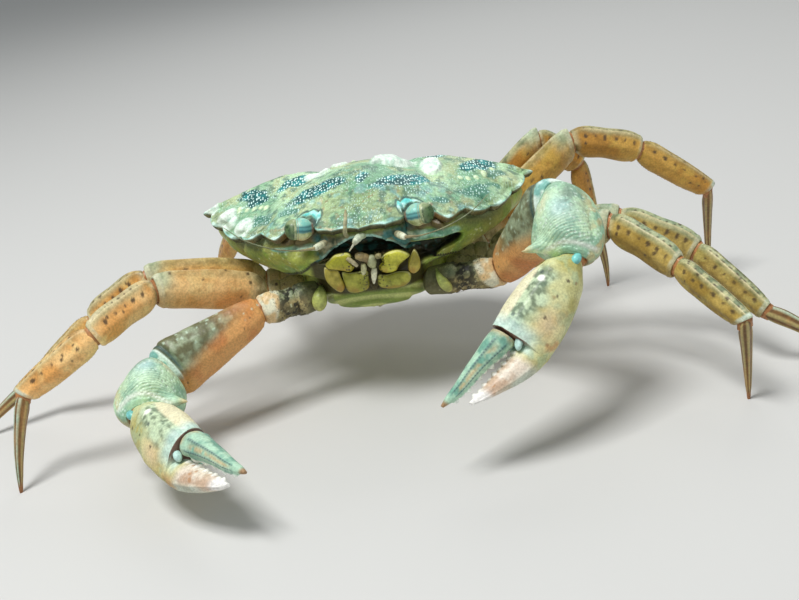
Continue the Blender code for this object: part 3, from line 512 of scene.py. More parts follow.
def back_tint(x, y, share, mm):
    """Colours of the back: mottled grey-green with dark dotted patches, white blotches and a pale rim whose front
    edges and tooth tips carry painted highlights, and painted shade round the eyes.
    """
    ax = np.abs(x)
    col = lerp((0.24, 0.46, 0.28), (0.49, 0.71, 0.43), cloud(mm, 7.0, 3, 21, 0.35, 0.65))
    col = lerp(col, (0.47, 0.49, 0.24), 0.62 * soft(rough(mm, 3.4, 3, 31) + 0.10 * soft(-y, 0.15, 0.3), 0.47, 0.64))
    middle = bump(x, 0.16) * bump(y + 0.25, 0.13)
    col = col * (1 - 0.24 * middle[..., None] * np.array((1.35, 0.85, 1.1)))
    near_front = soft(-y, 0.12, 0.26)
    col = lerp(col, (0.10, 0.20, 0.14), 0.80 * soft(rough(mm, 1.5, 3, 41) + 0.035 * near_front, 0.54, 0.68))
    col = lerp(col, (0.36, 0.19, 0.08), 0.50 * cloud(mm, 1.0, 3, 51, 0.60, 0.74) * soft(-y, 0.10, 0.28))
    pepper, kind = cells(mm, 0.42, 19)
    pepper = fade(pepper, 0.22, 0.36) * (kind > 0.62 - 0.22 * near_front)
    col = lerp(col, (0.09, 0.16, 0.11), 0.75 * pepper * cloud(mm, 2.6, 2, 20, 0.36, 0.56))
    col = lerp(col, (0.24, 0.50, 0.48), 0.60 * cloud(mm, 2.2, 3, 55, 0.56, 0.70) * soft(-y, 0.12, 0.24))
    dots, kind = cells(mm, 0.52, 7)
    fleck = fade(dots, 0.20, 0.36) * (kind > 0.45)
    col = lerp(col, (0.72, 0.90, 0.68), 0.50 * fleck)
    col = col * (1 + (0.35 + 0.45 * near_front) * waver(mm, 0.7, 2, 66))[..., None]
    ragged = waver(mm, 2.0, 3, 61) * 1.15
    faint = patches(x, y, FAINT_PATCHES, ragged)
    col = lerp(col, (0.055, 0.20, 0.15), 0.80 * faint * (1 - 0.9 * fleck))
    dark = patches(x, y, DARK_PATCHES, ragged)
    col = lerp(col, lerp((0.004, 0.085, 0.085), (0.015, 0.25, 0.25), cloud(mm, 1.3, 2, 65, 0.45, 0.7)), 0.97 * dark)
    white = patches(x, y, WHITE_PATCHES, ragged * 0.4)
    col = lerp(col, lerp((0.84, 0.95, 0.84), (0.56, 0.76, 0.62), cloud(mm, 0.9, 2, 71, 0.5, 0.75)), 0.95 * white)
    for kx, ky in KNOBS:
        col = lerp(col, (0.74, 0.90, 0.56), 0.92 * fade(np.hypot(x - kx, y - ky), 0.006, 0.0095))
    front = soft(-y, -0.03, 0.06)
    inside = within(share, 0.925, 0.955, 0.962, 0.975)
    col = lerp(col, (0.20, 0.27, 0.14), 0.6 * inside * front * cloud(mm, 1.4, 2, 83, 0.30, 0.55))
    # Pale rim along the front edge: pale granules, partly painted highlight
    broken = cloud(mm, 2.2, 2, 81, 0.36, 0.58)
    rim = soft(share, 0.9925, 0.9965) * front * (0.10 + 0.90 * broken)
    col = lerp(col, (0.42, 0.86, 0.74), 0.85 * rim)
    # Bright front lobe edges: partly painted highlight
    lobe_edge = soft(share, 0.976, 0.989) * soft(-y, 0.30, 0.34)
    bright = np.maximum(bump(x - 0.067, 0.016), 0.8 * bump(x + 0.046, 0.010))
    col = lerp(col, (0.62, 0.93, 0.84), 0.85 * bright * lobe_edge)
    col = lerp(col, (0.70, 0.52, 0.36), 0.7 * bump(x + 0.078, 0.014) * lobe_edge)
    # Whitened tooth tips: partly painted highlight
    for tooth in SIDE_TEETH:
        near = np.hypot(ax - tooth[0], y - tooth[1])
        col = lerp(col, (0.68, 0.96, 0.86), 0.85 * fade(near, 0.008, 0.024) * soft(share, 0.972, 0.990))
    gap, run, _ = along_path(ax, y, ORBIT_RIM)
    wide = np.interp(run, *zip(*CRESCENT))
    # Painted shade in the eye socket round each eye
    inside = soft(0.034 - np.hypot((ax - 0.150) * 0.9, y + 0.284), -0.004, 0.004)
    col = lerp(col, (0.05, 0.07, 0.06), 0.85 * inside * soft(gap, 0.008, 0.014))
    col = lerp(col, (0.02, 0.08, 0.085), 0.90 * bump(gap - wide - 0.0034, 0.0026))
    crescent = fade(gap - wide + 0.0015 * waver(mm, 1.0, 2, 93), -0.0010, 0.0008)
    col = lerp(col, lerp((0.14, 0.70, 0.66), (0.60, 0.96, 0.90), cloud(mm, 2.2, 2, 94, 0.34, 0.60)), 0.97 * crescent)
    return col


def back_dots(x, y, mm):
    """How strong the fine pale dots of the back are: full on and around the dark patches, faint elsewhere."""
    ragged = waver(mm, 2.0, 3, 61) * 1.15
    wider = [(px, py, a * 1.22, b * 1.35, turn) for px, py, a, b, turn in DARK_PATCHES]
    elsewhere = 0.24 + 0.38 * cloud(mm, 3.2, 2, 67, 0.40, 0.60)
    dots = np.maximum(elsewhere, 0.80 * patches(x, y, FAINT_PATCHES, ragged))
    dots = np.maximum(dots, 0.85 * patches(x, y, wider, ragged))
    return np.maximum(dots, patches(x, y, DARK_PATCHES, ragged))


# Rings of the shell's margin: scale and drop, then of its underside: scale and how far it follows the eye sockets
RIM_RINGS = ((0.972, 1.0), (0.984, 0.74), (0.9955, 0.36), (1.0, 0.10))
UNDER_RINGS = ((0.80, 0.7), (0.86, 0.9), (SEAM, 1.0))
# Painted shade under the shell's edge: how light each row below the edge is painted
UNDER_EDGE_PAINTED_SHADE = (0.8, 0.75, 0.7, 0.5, 0.36, 0.30, 0.34, 0.46, 0.66)


def make_carapace():
    """The shell of the back, from its underside round the toothed edge to the top."""
    steps = 11
    shares = np.concatenate((np.linspace(1, 0.93, 16), np.linspace(0.92, 0.5, 50), np.linspace(0.49, 0.03, 36)))
    details = np.interp(shares, (0, 0.55, 0.74, 0.88, 0.97, 1), (0, 0, 0.1, 0.5, 0.95, 1))
    hollows = np.interp(shares, (0, 0.36, 0.55, 0.74, 0.88, 0.97), (0, 0, 0.1, 0.5, 0.85, 1))
    plan = np.array([edge(d, o, steps) * s for d, o, s in zip(details, hollows, shares)])
    x, y = plan[..., 0], plan[..., 1]
    s = np.broadcast_to(shares[:, None], x.shape)
    z = edge_height(x / s, y / s) * s ** 2 + BACK_RISE * (1 - s ** 2.3) + shell_swell(x, y) * (1 - s ** 4)
    grid = np.stack((x, y, z), -1)
    mm = grid * MM
    grid = raised(grid, back_relief(x, y, s, mm))
    tint = back_tint(x, y, s, mm)
    dots = back_dots(x, y, mm) * fade(s, 0.985, 0.995)
    dots = dots * soft(line_distance(np.abs(x), y, ORBIT_RIM), 0.009, 0.013)
    sharp = edge(1.0, 1.0, steps)
    rim = [np.column_stack((sharp * scale, edge_height(sharp[:, 0], sharp[:, 1]) - SHELL_EDGE * drop))
           for scale, drop in RIM_RINGS]
    under = [shell_under(edge(0.0, o, steps) * v, v) for v, o in UNDER_RINGS]
    blend = [under[-1] * (1 - t) + rim[0] * t for t in (0.35, 0.7)]
    lower = np.array(under + blend + rim)
    low_mm = lower * MM
    # Dark olive underside: its own colour, made darker still as painted shade under the edge
    low_tint = lerp((0.17, 0.17, 0.06), (0.34, 0.31, 0.12), cloud(low_mm, 1.5, 3, 5, 0.4, 0.6))
    beside_eye = bump(np.abs(lower[..., 0]) - 0.205, 0.035) * soft(-lower[..., 1], 0.22, 0.26)
    low_tint = lerp(low_tint, (0.62, 0.33, 0.10), 0.8 * beside_eye)
    # Painted shade: each row under the edge darkened by its factor
    low_tint = low_tint * np.array(UNDER_EDGE_PAINTED_SHADE)[:, None, None]
    # Pale top edge near the front: a pale rim, partly painted highlight
    pale = np.array([0] * 8 + [0.40])[:, None] * soft(0.05 - lower[..., 1], 0, 0.06)
    low_tint = lerp(low_tint, (0.62, 0.90, 0.78), pale * (0.35 + 0.65 * cloud(low_mm, 2.2, 2, 81, 0.36, 0.58)))
    grid = np.concatenate((lower, grid))
    tint = np.concatenate((low_tint, tint))
    dots = np.concatenate((np.zeros(low_tint.shape[:2]), dots))
    tip = place((0, 0, BACK_RISE + float(shell_swell(np.array(0.0), np.array(0.0)))))
    piece("carapace_shell", place(grid), tint, SHELL, ("carapace",), (None, (tip, tint[-1, 0])), dots)


def ring_frame(axis, reference):
    """Directions to the side and up round a limb's axis."""
    upper = unit(np.asarray(reference) - np.dot(reference, axis) * axis)
    return np.cross(axis, upper), upper


def heading(side, yaw, rise):
    """Direction of a limb segment from its angles in degrees: outward, to the rear and up."""
    yaw, rise = math.radians(yaw), math.radians(rise)
    out = 1.0 if side == "left" else -1.0
    return np.array((out * math.cos(yaw) * math.cos(rise), math.sin(yaw) * math.cos(rise), math.sin(rise)))


# Scales of the breast across and lengthways at the level of the hips
HIP_LEVEL = (0.465, 0.87)


def hip_place(y, z, clearance):
    """A hip's place on the edge of the breastplate, with the direction out of it."""
    ring = half_edge(0.0, 0.0, 4)
    x = ring[:, 0] * HIP_LEVEL[0]
    lengthways = ring[:, 1] * HIP_LEVEL[1]
    nearest = int(np.argmin(np.abs(lengthways - y) + np.where(x < 0.04, 1.0, 0.0)))
    along = np.array((x[nearest + 1] - x[nearest - 1], lengthways[nearest + 1] - lengthways[nearest - 1]))
    outward = unit((along[1], -along[0]))
    start = np.array((x[nearest], y)) + outward * GAP * clearance
    return (start[0], start[1], z), (outward[0], outward[1], 0.0)


def on_side(point, side):
    """A point of the left side, or its mirror image."""
    return np.array(point) if side == "left" else np.array(point) * (-1, 1, 1)


def joint_plane(before, after):
    """Normal of the plane that parts two segments."""
    return unit(unit(before) + unit(after))


def turn_from(angle, centre):
    """Signed angle from a direction round a limb, in degrees."""
    return (np.degrees(angle) - centre + 180) % 360 - 180


def lines_at(angle, centres, width):
    """Lines along a limb at these directions round it."""
    return sum(bump(turn_from(angle, centre), width) for centre in centres)


def segment_grid(start, end, form, size, reference, planes, bow, relief, rows, cols):
    """Surface of one limb segment between its joint planes, with its shares along and its angles."""
    axis = unit(end - start)
    length = np.linalg.norm(end - start)
    side, upper = ring_frame(axis, reference)
    first = start + axis * (GAP / 2) / np.dot(axis, planes[0])
    last = end - axis * (GAP / 2) / np.dot(axis, planes[1])
    t = np.linspace(0, 1, rows)
    t = t - 0.7 * np.sin(2 * math.pi * t) / (2 * math.pi)
    values = catmull(form, t) * size
    angle = full_turn(cols)
    rise = np.sin(angle)
    narrow = 1 - 0.3 * np.maximum(rise, 0)
    tt, aa = np.meshgrid(t, angle, indexing="ij")
    # The far end flares to a rim and the near end rounds off into the joint
    shrink = 1 - 0.16 * fade(tt, 0.0, 0.035) - 0.05 * soft(tt, 0.985, 1.0) + 0.045 * bump(tt - 0.960, 0.018)
    lift = relief(tt, aa) * size
    across = np.cos(aa) * (narrow * values[:, 1:] / 2 * shrink + lift)
    above = np.sin(aa) * (values[:, :1] / 2 * shrink + lift)
    middle = first + (last - first) * t[:, None] + upper * (bow * length * 4 * t * (1 - t))[:, None]
    weight = (np.abs(2 * t - 1) ** 1.5)[:, None]
    plane = unit(axis * (1 - weight) + np.where(t[:, None] < 0.5, planes[0], planes[1]) * weight)
    point = side * across[..., None] + upper * above[..., None]
    slip = (point * plane[:, None, :]).sum(-1) / (plane @ axis)[:, None]
    return middle[:, None, :] + point - axis * slip[..., None], tt, aa


def with_ends(grid, tint, skin, depth, ends):
    """Adds rims that turn in to the joint skin at the ends of a limb segment."""
    rings, tones = [grid], [tint]
    for at in ends:
        ring = grid[at]
        centre = ring.mean(0)
        inward = unit(grid[3 if at == 0 else -4].mean(0) - centre)
        turned = np.array([centre + (ring - centre) * k + inward * depth * d for k, d in
                           ((0.90, -0.15), (0.78, 0.3), (0.60, 0.9), (0.25, 1.0))])
        shades = np.array([tint[at] * 0.8] + [np.broadcast_to(skin, ring.shape)] * 3)
        if at == 0:
            rings.insert(0, turned[::-1])
            tones.insert(0, shades[::-1])
        else:
            rings.append(turned)
            tones.append(shades)
    return np.concatenate(rings), np.concatenate(tones)


def limb_piece(name, grid, tint, skin, depth, ends=(0, -1)):
    """One limb segment with its ends, which stands for the node of its name."""
    grid, tint = with_ends(grid, tint, skin, depth, ends)
    piece(name + "_shell", grid, tint, LIMB, (name,), end_caps(grid, tint))


RED_SKIN = (0.52, 0.19, 0.06)
# Rings of a joint's skin: distance from the joint and scale
SKIN_RINGS = ((-0.034, 0.5), (-0.018, 0.80), (0.0, 0.90), (0.018, 0.80), (0.034, 0.5))


def joint_skins(name, joints):
    """Barrels of skin in the gaps of a limb, as one piece. Each has its joint, directions, height and width."""
    points, quads = [], []
    count = 24
    for number, (joint, before, after, high, wide) in enumerate(joints):
        for step, (shift, scale) in enumerate(SKIN_RINGS):
            axis = unit(before * (1 - step / 4) + after * (step / 4))
            side, upper = ring_frame(axis, (0.05, 0.1, 1.0))
            angle = full_turn(count)[:, None]
            way = before if shift < 0 else after
            points.append(joint + way * shift + (side * np.cos(angle) * wide + upper * np.sin(angle) * high)
                          * scale * (1 + 0.04 * np.sin(angle * 8)) / 2)
        base = number * len(SKIN_RINGS) * count + np.arange(len(SKIN_RINGS) - 1)[:, None] * count
        a = (base + np.arange(count)).ravel()
        b = (base + (np.arange(count) + 1) % count).ravel()
        quads.append(np.stack((a, b, b + count, a + count), -1))
    points = np.vstack(points)
    tones = lerp(np.array(RED_SKIN) * 0.5, np.array(RED_SKIN) * (1.15, 1.5, 1.8), rough(points * MM, 0.9, 3, 3))
    solid(name, points, np.vstack(quads), [], tones, SKIN)


def strands(name, roots, tips, radius, colour, slot=None):
    """Many thin tapering hairs as one piece."""
    roots, tips = np.asarray(roots), np.asarray(tips)
    count, steps = len(roots), 5
    way = unit(tips - roots)
    side = unit(np.cross(way, (0.31, 0.22, 0.92)))
    other = np.cross(way, side)
    points, tones = [], []
    for step in range(steps):
        t = step / (steps - 1)
        wide = radius * (1 - 0.85 * t)
        middle = roots + (tips - roots) * t
        for corner in range(3):
            a = corner * 2 * math.pi / 3
            points.append(middle + (side * math.cos(a) + other * math.sin(a)) * wide)
            tones.append(np.broadcast_to(colour, roots.shape) * (0.8 + 0.4 * t))
    points = np.stack(points, 1).reshape(-1, 3)
    tones = np.stack(tones, 1).reshape(-1, 3)
    quads = []
    for step in range(steps - 1):
        for corner in range(3):
            a, b = step * 3 + corner, step * 3 + (corner + 1) % 3
            quads.append((a, b, b + 3, a + 3))
    quads = (np.array(quads)[None] + (np.arange(count) * steps * 3)[:, None, None]).reshape(-1, 4)
    solid(name, points, quads, [], tones, SKIN, ())


# Hips of the second to fifth legs: place from front to rear, height and room. Then their first joints
WALKING_HIPS = {2: (-0.065, -0.235, 0.3), 3: (0.045, -0.232, 0.5), 4: (0.150, -0.225, 1.5), 5: (0.235, -0.235, 0.5)}
WALKING_KNEES = {2: (0.335, -0.092, -0.235), 3: (0.355, 0.030, -0.222), 4: (0.340, 0.150, -0.195),
                 5: (0.275, 0.262, -0.198)}
WALKING_SIZES = {2: 1.0, 3: 1.03, 4: 0.98, 5: 0.84}
# Length of each segment after the hip, with its angle to the rear and its rise. The last one reaches the floor
WALKING_POSES = {
    ("left", 2): ((0.390, -13, 16), (0.237, -43, -23), (0.280, -63, -17), (73, -79)),
    ("left", 3): ((0.400, -8, 10), (0.244, -23, -23), (0.278, -53, -28), (-20, -33)),
    ("left", 4): ((0.405, 20, 36), (0.238, 15, -17), (0.288, 11, -38), (85, -76)),
    ("left", 5): ((0.380, 13, 42), (0.174, 24, -39), (0.218, 28, -80), (25, -80)),
    ("right", 2): ((0.360, -34, 19), (0.226, -48, -13), (0.264, -10, -31), (-70, -66)),
    ("right", 3): ((0.375, -29, 16), (0.229, 6, -31), (0.272, 4, -37), (-30, -29)),
    ("right", 4): ((0.350, 70, 10), (0.215, 65, -20), (0.260, 50, -44), (20, -33)),
    ("right", 5): ((0.300, 84, 7), (0.170, 80, -28), (0.210, 74, -50), (60, -42)),
}
# Share along, height and width of each segment
LEG_FORMS = {
    "hip": ((0, 0.076, 0.078), (0.25, 0.088, 0.084), (0.6, 0.07, 0.062), (0.8, 0.074, 0.058), (1, 0.062, 0.046)),
    "merus": ((0, 0.070, 0.048), (0.06, 0.095, 0.055), (0.3, 0.116, 0.06), (0.7, 0.113, 0.06),
              (0.93, 0.103, 0.060), (1, 0.090, 0.056)),
    "carpus": ((0, 0.064, 0.050), (0.09, 0.086, 0.058), (0.5, 0.097, 0.062), (0.88, 0.097, 0.062), (1, 0.082, 0.056)),
    "propodus": ((0, 0.064, 0.044), (0.09, 0.080, 0.049), (0.4, 0.086, 0.052), (0.85, 0.073, 0.047),
                 (1, 0.062, 0.041)),
    "dactylus": ((0, 0.04, 0.03), (0.08, 0.046, 0.034), (0.3, 0.04, 0.03), (0.6, 0.029, 0.022),
                 (0.85, 0.018, 0.014), (1, 0.011, 0.009)),
}
LEG_PARTS = tuple(LEG_FORMS)
LEG_BOWS = (0.0, 0.02, 0.03, 0.0, 0.05)
# Deep and light tone of the sides, and how green the upper edge is
LEG_TONE = ((0.46, 0.215, 0.035), (0.60, 0.34, 0.075), 0.85)
# Per-leg tones: lighter on the right legs in the light, darker and greener on the left legs in shade, as painted
# light and shade
LEG_TONES_LIT_AND_SHADED = {
    ("right", 2): ((0.80, 0.39, 0.11), (0.94, 0.60, 0.25), 0.40),
    ("right", 3): ((0.62, 0.30, 0.07), (0.80, 0.47, 0.15), 0.50),
    ("left", 4): ((0.48, 0.235, 0.035), (0.62, 0.36, 0.07), 0.45),
    ("left", 2): ((0.32, 0.21, 0.040), (0.50, 0.36, 0.095), 0.90),
    ("left", 3): ((0.31, 0.21, 0.045), (0.47, 0.35, 0.100), 0.90),
}


def leg_relief(part):
    """Ridges and furrows along a walking leg's segment, by share along and angle."""
    def shape(tt, aa):
        middle = within(tt, 0.02, 0.15, 0.88, 0.98)
        if part == "hip":
            return -0.004 * bump(tt - 0.66, 0.02) + 0.002 * bump(tt - 0.3, 0.1) * np.sin(aa * 2)
        if part == "merus":
            crest = bump(turn_from(aa, 90), 14) * 0.0028
            return (crest - 0.0016 * lines_at(aa, (52, 128), 9)) * middle
        if part in ("carpus", "propodus"):
            crest = 0.0026 * lines_at(aa, (58, 122), 8) + 0.0016 * lines_at(aa, (90,), 8)
            furrow = 0.0022 * (lines_at(aa, (25, 155), 13) + bump(turn_from(aa, 335), 12)
                               + bump(turn_from(aa, 205), 12))
            return (crest - furrow) * middle
        return 0.0012 * np.cos(aa * 6) * soft(tt, 0.05, 0.15) * fade(tt, 0.82, 0.97)
    return shape


def leg_tint(part, tt, aa, mm, seed, tones):
    """Colours of a walking leg: orange sides, green-grey upper edge, dark dots and pale bluish rims."""
    deep, light, greenness = tones
    top = soft(np.sin(aa), 0.50, 0.92)
    col = lerp(deep, light, cloud(mm, 5.0, 3, seed, 0.35, 0.65))
    col = lerp(col, np.array(light) * (1.0, 1.2, 1.25), 0.5 * cloud(mm, 2.4, 3, seed + 9, 0.50, 0.70))
    col = lerp(col, np.array(deep) * 0.62, 0.45 * cloud(mm, 1.1, 3, seed + 19, 0.56, 0.70))
    edge_tone = lerp((0.13, 0.19, 0.10), (0.46, 0.47, 0.25), cloud(mm, 1.2, 3, seed + 5, 0.38, 0.62))
    col = lerp(col, edge_tone, greenness * top)
    low = soft(-np.sin(aa), 0.5, 0.95)
    col = lerp(col, (0.52, 0.35, 0.10), 0.35 * low)
    if part == "hip":
        col = lerp(col, lerp((0.22, 0.26, 0.12), (0.44, 0.42, 0.22), rough(mm, 1.5, 3, seed + 2)), 0.75)
        col = lerp(col, (0.06, 0.06, 0.03), 0.7 * cloud(mm, 0.8, 2, seed + 3, 0.58, 0.7) * fade(tt, 0.5, 0.7))
        col = lerp(col, (0.78, 0.70, 0.46), 0.8 * bump(tt - 0.72, 0.06) * soft(-np.sin(aa), -0.4, 0.5))
    if part in ("merus", "carpus"):
        far = soft(tt, 0.80, 0.95) if part == "merus" else 0.5 * soft(tt, 0.1, 0.3) * top
        mottle = lerp((0.24, 0.36, 0.24), (0.50, 0.62, 0.42), cloud(mm, 1.1, 3, seed + 15, 0.35, 0.65))
        col = lerp(col, mottle, 0.75 * far * (0.3 + 0.7 * soft(np.sin(aa), 0.0, 0.6)))
        near = 1 - (soft(tt, 0.05, 0.24) if part == "merus" else soft(tt, 0.0, 0.12))
        olive = lerp((0.16, 0.17, 0.09), (0.60, 0.57, 0.34), cloud(mm, 1.2, 3, seed + 25, 0.34, 0.60))
        col = lerp(col, olive, 0.75 * near)
    if part == "dactylus":
        ridge = 0.5 + 0.5 * np.cos(aa * 6)
        col = lerp((0.16, 0.085, 0.03), lerp((0.42, 0.34, 0.14), (0.46, 0.58, 0.44), top), soft(ridge, 0.25, 0.75))
        col = lerp(col, (0.50, 0.24, 0.07), 0.35 * cloud(mm, 2.0, 2, seed, 0.4, 0.7))
        return lerp(col, (0.30, 0.13, 0.05), soft(tt, 0.86, 0.95))
    # Dark dots: some scattered, some in uneven rows along the furrows
    spots, kind = cells(mm, 1.9, seed + 40)
    dot = fade(spots, 0.11 + 0.05 * kind, 0.17 + 0.06 * kind) * (kind > 0.55) * soft(np.sin(aa), -0.7, -0.3)
    row = np.zeros(tt.shape)
    if part in ("carpus", "propodus"):
        for centre, number in ((26, 7), (154, 7), (68, 10), (112, 10)):
            run = tt * number + centre * 0.013 + 0.45 * waver(mm, 2.6, 2, seed + centre)
            size = 0.02 + 0.22 * lattice(np.floor(run).astype(np.int64), centre, number, seed)
            beat = np.abs(run % 1 - 0.5) * 2
            off = np.abs(turn_from(aa, centre + 14 * waver(mm, 3.0, 2, seed + 3)))
            off = off / (24 if number == 7 else 15)
            row = np.maximum(row, fade(np.hypot(beat, off), size + 0.10, size + 0.28))
        col = lerp(col, (0.74, 0.62, 0.34), 0.7 * lines_at(aa, (58, 122), 5) * soft(tt, 0.1, 0.2))
    inside = within(tt, 0.08, 0.14, 0.86, 0.92)
    col = lerp(col, (0.07, 0.045, 0.025), 0.88 * np.maximum(dot, row) * inside)
    rim = soft(tt, 0.94, 0.970) * (0.4 + 0.6 * cloud(mm, 1.4, 2, seed + 50, 0.36, 0.56))
    pale = (0.60, 0.76, 0.66) if part == "propodus" else (0.62, 0.62, 0.42)
    col = lerp(col, pale, rim * (0.62 * soft(np.sin(aa), -0.5, 0.4) + 0.12))
    return col


def hairs_on(grid, rows, cols, count, low, high, lean, rng):
    """Roots and tips of hairs over part of a grid, leaning one way."""
    out = normals(grid)
    r = rng.integers(rows[0], rows[1], count)
    c = rng.integers(cols[0], cols[1], count) % grid.shape[1]
    roots = grid[r, c] - out[r, c] * 0.001
    way = unit(out[r, c] + np.asarray(lean) * rng.uniform(0.3, 1.0, (count, 1)) + rng.normal(0, 0.25, (count, 3)))
    return roots, roots + way * rng.uniform(low, high, (count, 1))


def limb_joints(hip_row, knee, poses, side):
    """Joints of a limb from its hip on, and its direction out of the body."""
    hip, outward = hip_place(*hip_row)
    points = [place(on_side(hip, side)), place(on_side(knee, side))]
    for length, yaw, rise in poses:
        points.append(points[-1] + heading(side, yaw, rise) * length)
    return points, place_way(on_side(outward, side))


def limb_ways(points, out):
    """Directions of a limb's segments, and the planes that part them."""
    ways = [unit(b - a) for a, b in zip(points, points[1:])]
    return ways, [out] + [joint_plane(a, b) for a, b in zip(ways, ways[1:])]


def make_leg(side, number):
    """A walking leg from hip to tip, with its joint skins and hairs."""
    size = WALKING_SIZES[number]
    rng = np.random.default_rng(number * 2 + (side == "left"))
    poses = WALKING_POSES[(side, number)]
    points, out = limb_joints(WALKING_HIPS[number], WALKING_KNEES[number], poses[:3], side)
    direction = heading(side, *poses[3])
    points.append(points[-1] + direction * points[-1][2] / -direction[2])
    ways, planes = limb_ways(points, out)
    planes.append(-UP)
    points[5] = points[5] - UP * GAP / 2
    seed = number * 100 + (7 if side == "left" else 3)
    leg = "leg%d_%s_" % (number, side)
    base_hairs, fringes, skins = [], [], []
    for index, part in enumerate(LEG_PARTS):
        form = LEG_FORMS[part]
        rows, cols = (64, 48) if part == "dactylus" else (80, 60)
        grid, tt, aa = segment_grid(points[index], points[index + 1], form, size, UP, planes[index:index + 2],
                                    LEG_BOWS[index], leg_relief(part), rows, cols)
        mm = grid * MM
        grid = raised(grid, 0.0012 * waver(mm, 2.4, 3, seed) * soft(tt, 0, 0.1) * fade(tt, 0.9, 1))
        tint = leg_tint(part, tt, aa, mm, seed + index * 7, LEG_TONES_LIT_AND_SHADED.get((side, number), LEG_TONE))
        lean = ways[index] * 0.8
        if part == "hip":
            base_hairs.append(hairs_on(grid, (12, 62), (0, cols), 160, 0.012, 0.030, lean * 2.0, rng))
        if part in ("propodus", "dactylus"):
            longest = 0.018 if number == 5 else 0.011
            for middle in (cols // 4, 3 * (cols // 4)):
                fringes.append(hairs_on(grid, (8, rows - 10), (middle - 1, middle + 2), 80, 0.005, longest, lean,
                                        rng))
        limb_piece(leg + part, grid, tint, RED_SKIN if index else (0.24, 0.20, 0.10), 0.010,
                   (0,) if part == "dactylus" else (0, -1))
        if index:
            before = LEG_FORMS[LEG_PARTS[index - 1]][-1]
            height, width = (max(form[0][k] * size, before[k] * size) * 0.86 for k in (1, 2))
            skins.append((points[index], ways[index - 1], ways[index], height, width))
    joint_skins(leg + "joint_skins", skins)
    strands(leg + "base_hairs", *map(np.vstack, zip(*base_hairs)), 0.0008, (0.09, 0.065, 0.035))
    strands(leg + "fringes", *map(np.vstack, zip(*fringes)), 0.0006, (0.34, 0.26, 0.14))


# Claws: hip, first joint, segments as for the legs, and the directions that their parts turn up
CLAW_HIP = (-0.185, -0.235, 0.9)
CLAW_SHOULDER = {"left": (0.375, -0.20, -0.228), "right": (0.330, -0.255, -0.245)}
CLAW_POSES = {
    "left": ((0.346, -47, 43), (0.191, -86, -33), (0.25, -142, -37)),
    "right": ((0.340, -30, -17), (0.191, -84, -8), (0.25, -128, -7)),
}
CLAW_UPPER = {"left": (-0.72, 0.20, 0.67), "right": (0.55, 0.10, 0.80)}
CLAW_ROLL = {"left": (-0.3, -0.2, 1.0), "right": (0.2, 0.1, 1.0)}
CARPUS_SPINE = {"left": (-0.85, -0.45, 0.02), "right": (0.85, -0.45, 0.10)}
CLAW_FORMS = {
    "hip": ((0, 0.084, 0.086), (0.3, 0.096, 0.092), (0.55, 0.084, 0.084), (0.8, 0.098, 0.09), (1, 0.084, 0.078)),
    "merus": ((0, 0.086, 0.078), (0.08, 0.105, 0.092), (0.35, 0.135, 0.112), (0.7, 0.168, 0.126),
              (0.92, 0.172, 0.126), (1, 0.130, 0.10)),
    "carpus": ((0, 0.10, 0.09), (0.12, 0.165, 0.15), (0.35, 0.205, 0.185), (0.65, 0.190, 0.190),
               (0.88, 0.13, 0.145), (1, 0.078, 0.085)),
}
# Distance along, upper edge, lower edge and width
HAND_FORM = ((0.0, 0.036, -0.032, 0.070), (0.025, 0.060, -0.052, 0.10), (0.08, 0.080, -0.072, 0.122),
             (0.15, 0.087, -0.083, 0.126), (0.21, 0.086, -0.085, 0.118), (0.247, 0.083, -0.084, 0.106))
FIXED_FINGER_FORM = ((0.2505, -0.002, -0.083, 0.090), (0.28, 0.000, -0.077, 0.080),
                     (0.33, 0.006, -0.057, 0.064), (0.38, 0.014, -0.028, 0.048),
                     (0.415, 0.020, -0.006, 0.032), (0.445, 0.026, 0.014, 0.014))
MOVING_FINGER_FORM = ((0.0, 0.078, 0.008, 0.078), (0.03, 0.081, 0.015, 0.078), (0.07, 0.081, 0.028, 0.066),
                      (0.12, 0.082, 0.040, 0.052), (0.17, 0.081, 0.048, 0.037), (0.215, 0.082, 0.062, 0.022),
                      (0.236, 0.080, 0.072, 0.010))
# The short straight step between palm and fixed finger
HAND_STEP = ((0.2486, 0.070, -0.0838, 0.103), (0.2495, 0.028, -0.0834, 0.098))
HAND_END = HAND_FORM[-1][0]
FINGER_START = FIXED_FINGER_FORM[0][0]
# From the last joint to the palm, and from the palm's end to the hinge
WRIST_LENGTH = 0.012
HINGE_LENGTH = 0.004
# The carpus's inner spine
SPINE_REACH = 0.150
SPINE_RADIUS = 0.034
TOOTH_COUNT = 9
TOOTH_HEIGHT = 0.010


def claw_frame(side):
    """Joints, directions, joint planes and the frame of the hand of one claw."""
    points, out = limb_joints(CLAW_HIP, CLAW_SHOULDER[side], CLAW_POSES[side], side)
    ways, planes = limb_ways(points, out)
    axis = ways[3]
    hand_side, hand_upper = ring_frame(axis, CLAW_UPPER[side])
    return points, ways, planes, hand_side, hand_upper, points[3] + axis * (GAP / 2 + WRIST_LENGTH)


def claw_relief(part):
    """Furrows and ridges of the claw's hip and merus, by share along and angle."""
    def shape(tt, aa):
        if part == "hip":
            return -0.006 * bump(tt - 0.42, 0.02) + 0.003 * np.sin(aa * 3) * bump(tt - 0.7, 0.12)
        crest = 0.004 * lines_at(aa, (40, 140), 12) * soft(tt, 0.2, 0.5) * fade(tt, 0.85, 0.95)
        return crest - 0.004 * bump(tt - 0.90, 0.014) * soft(np.sin(aa), -0.2, 0.3)
    return shape


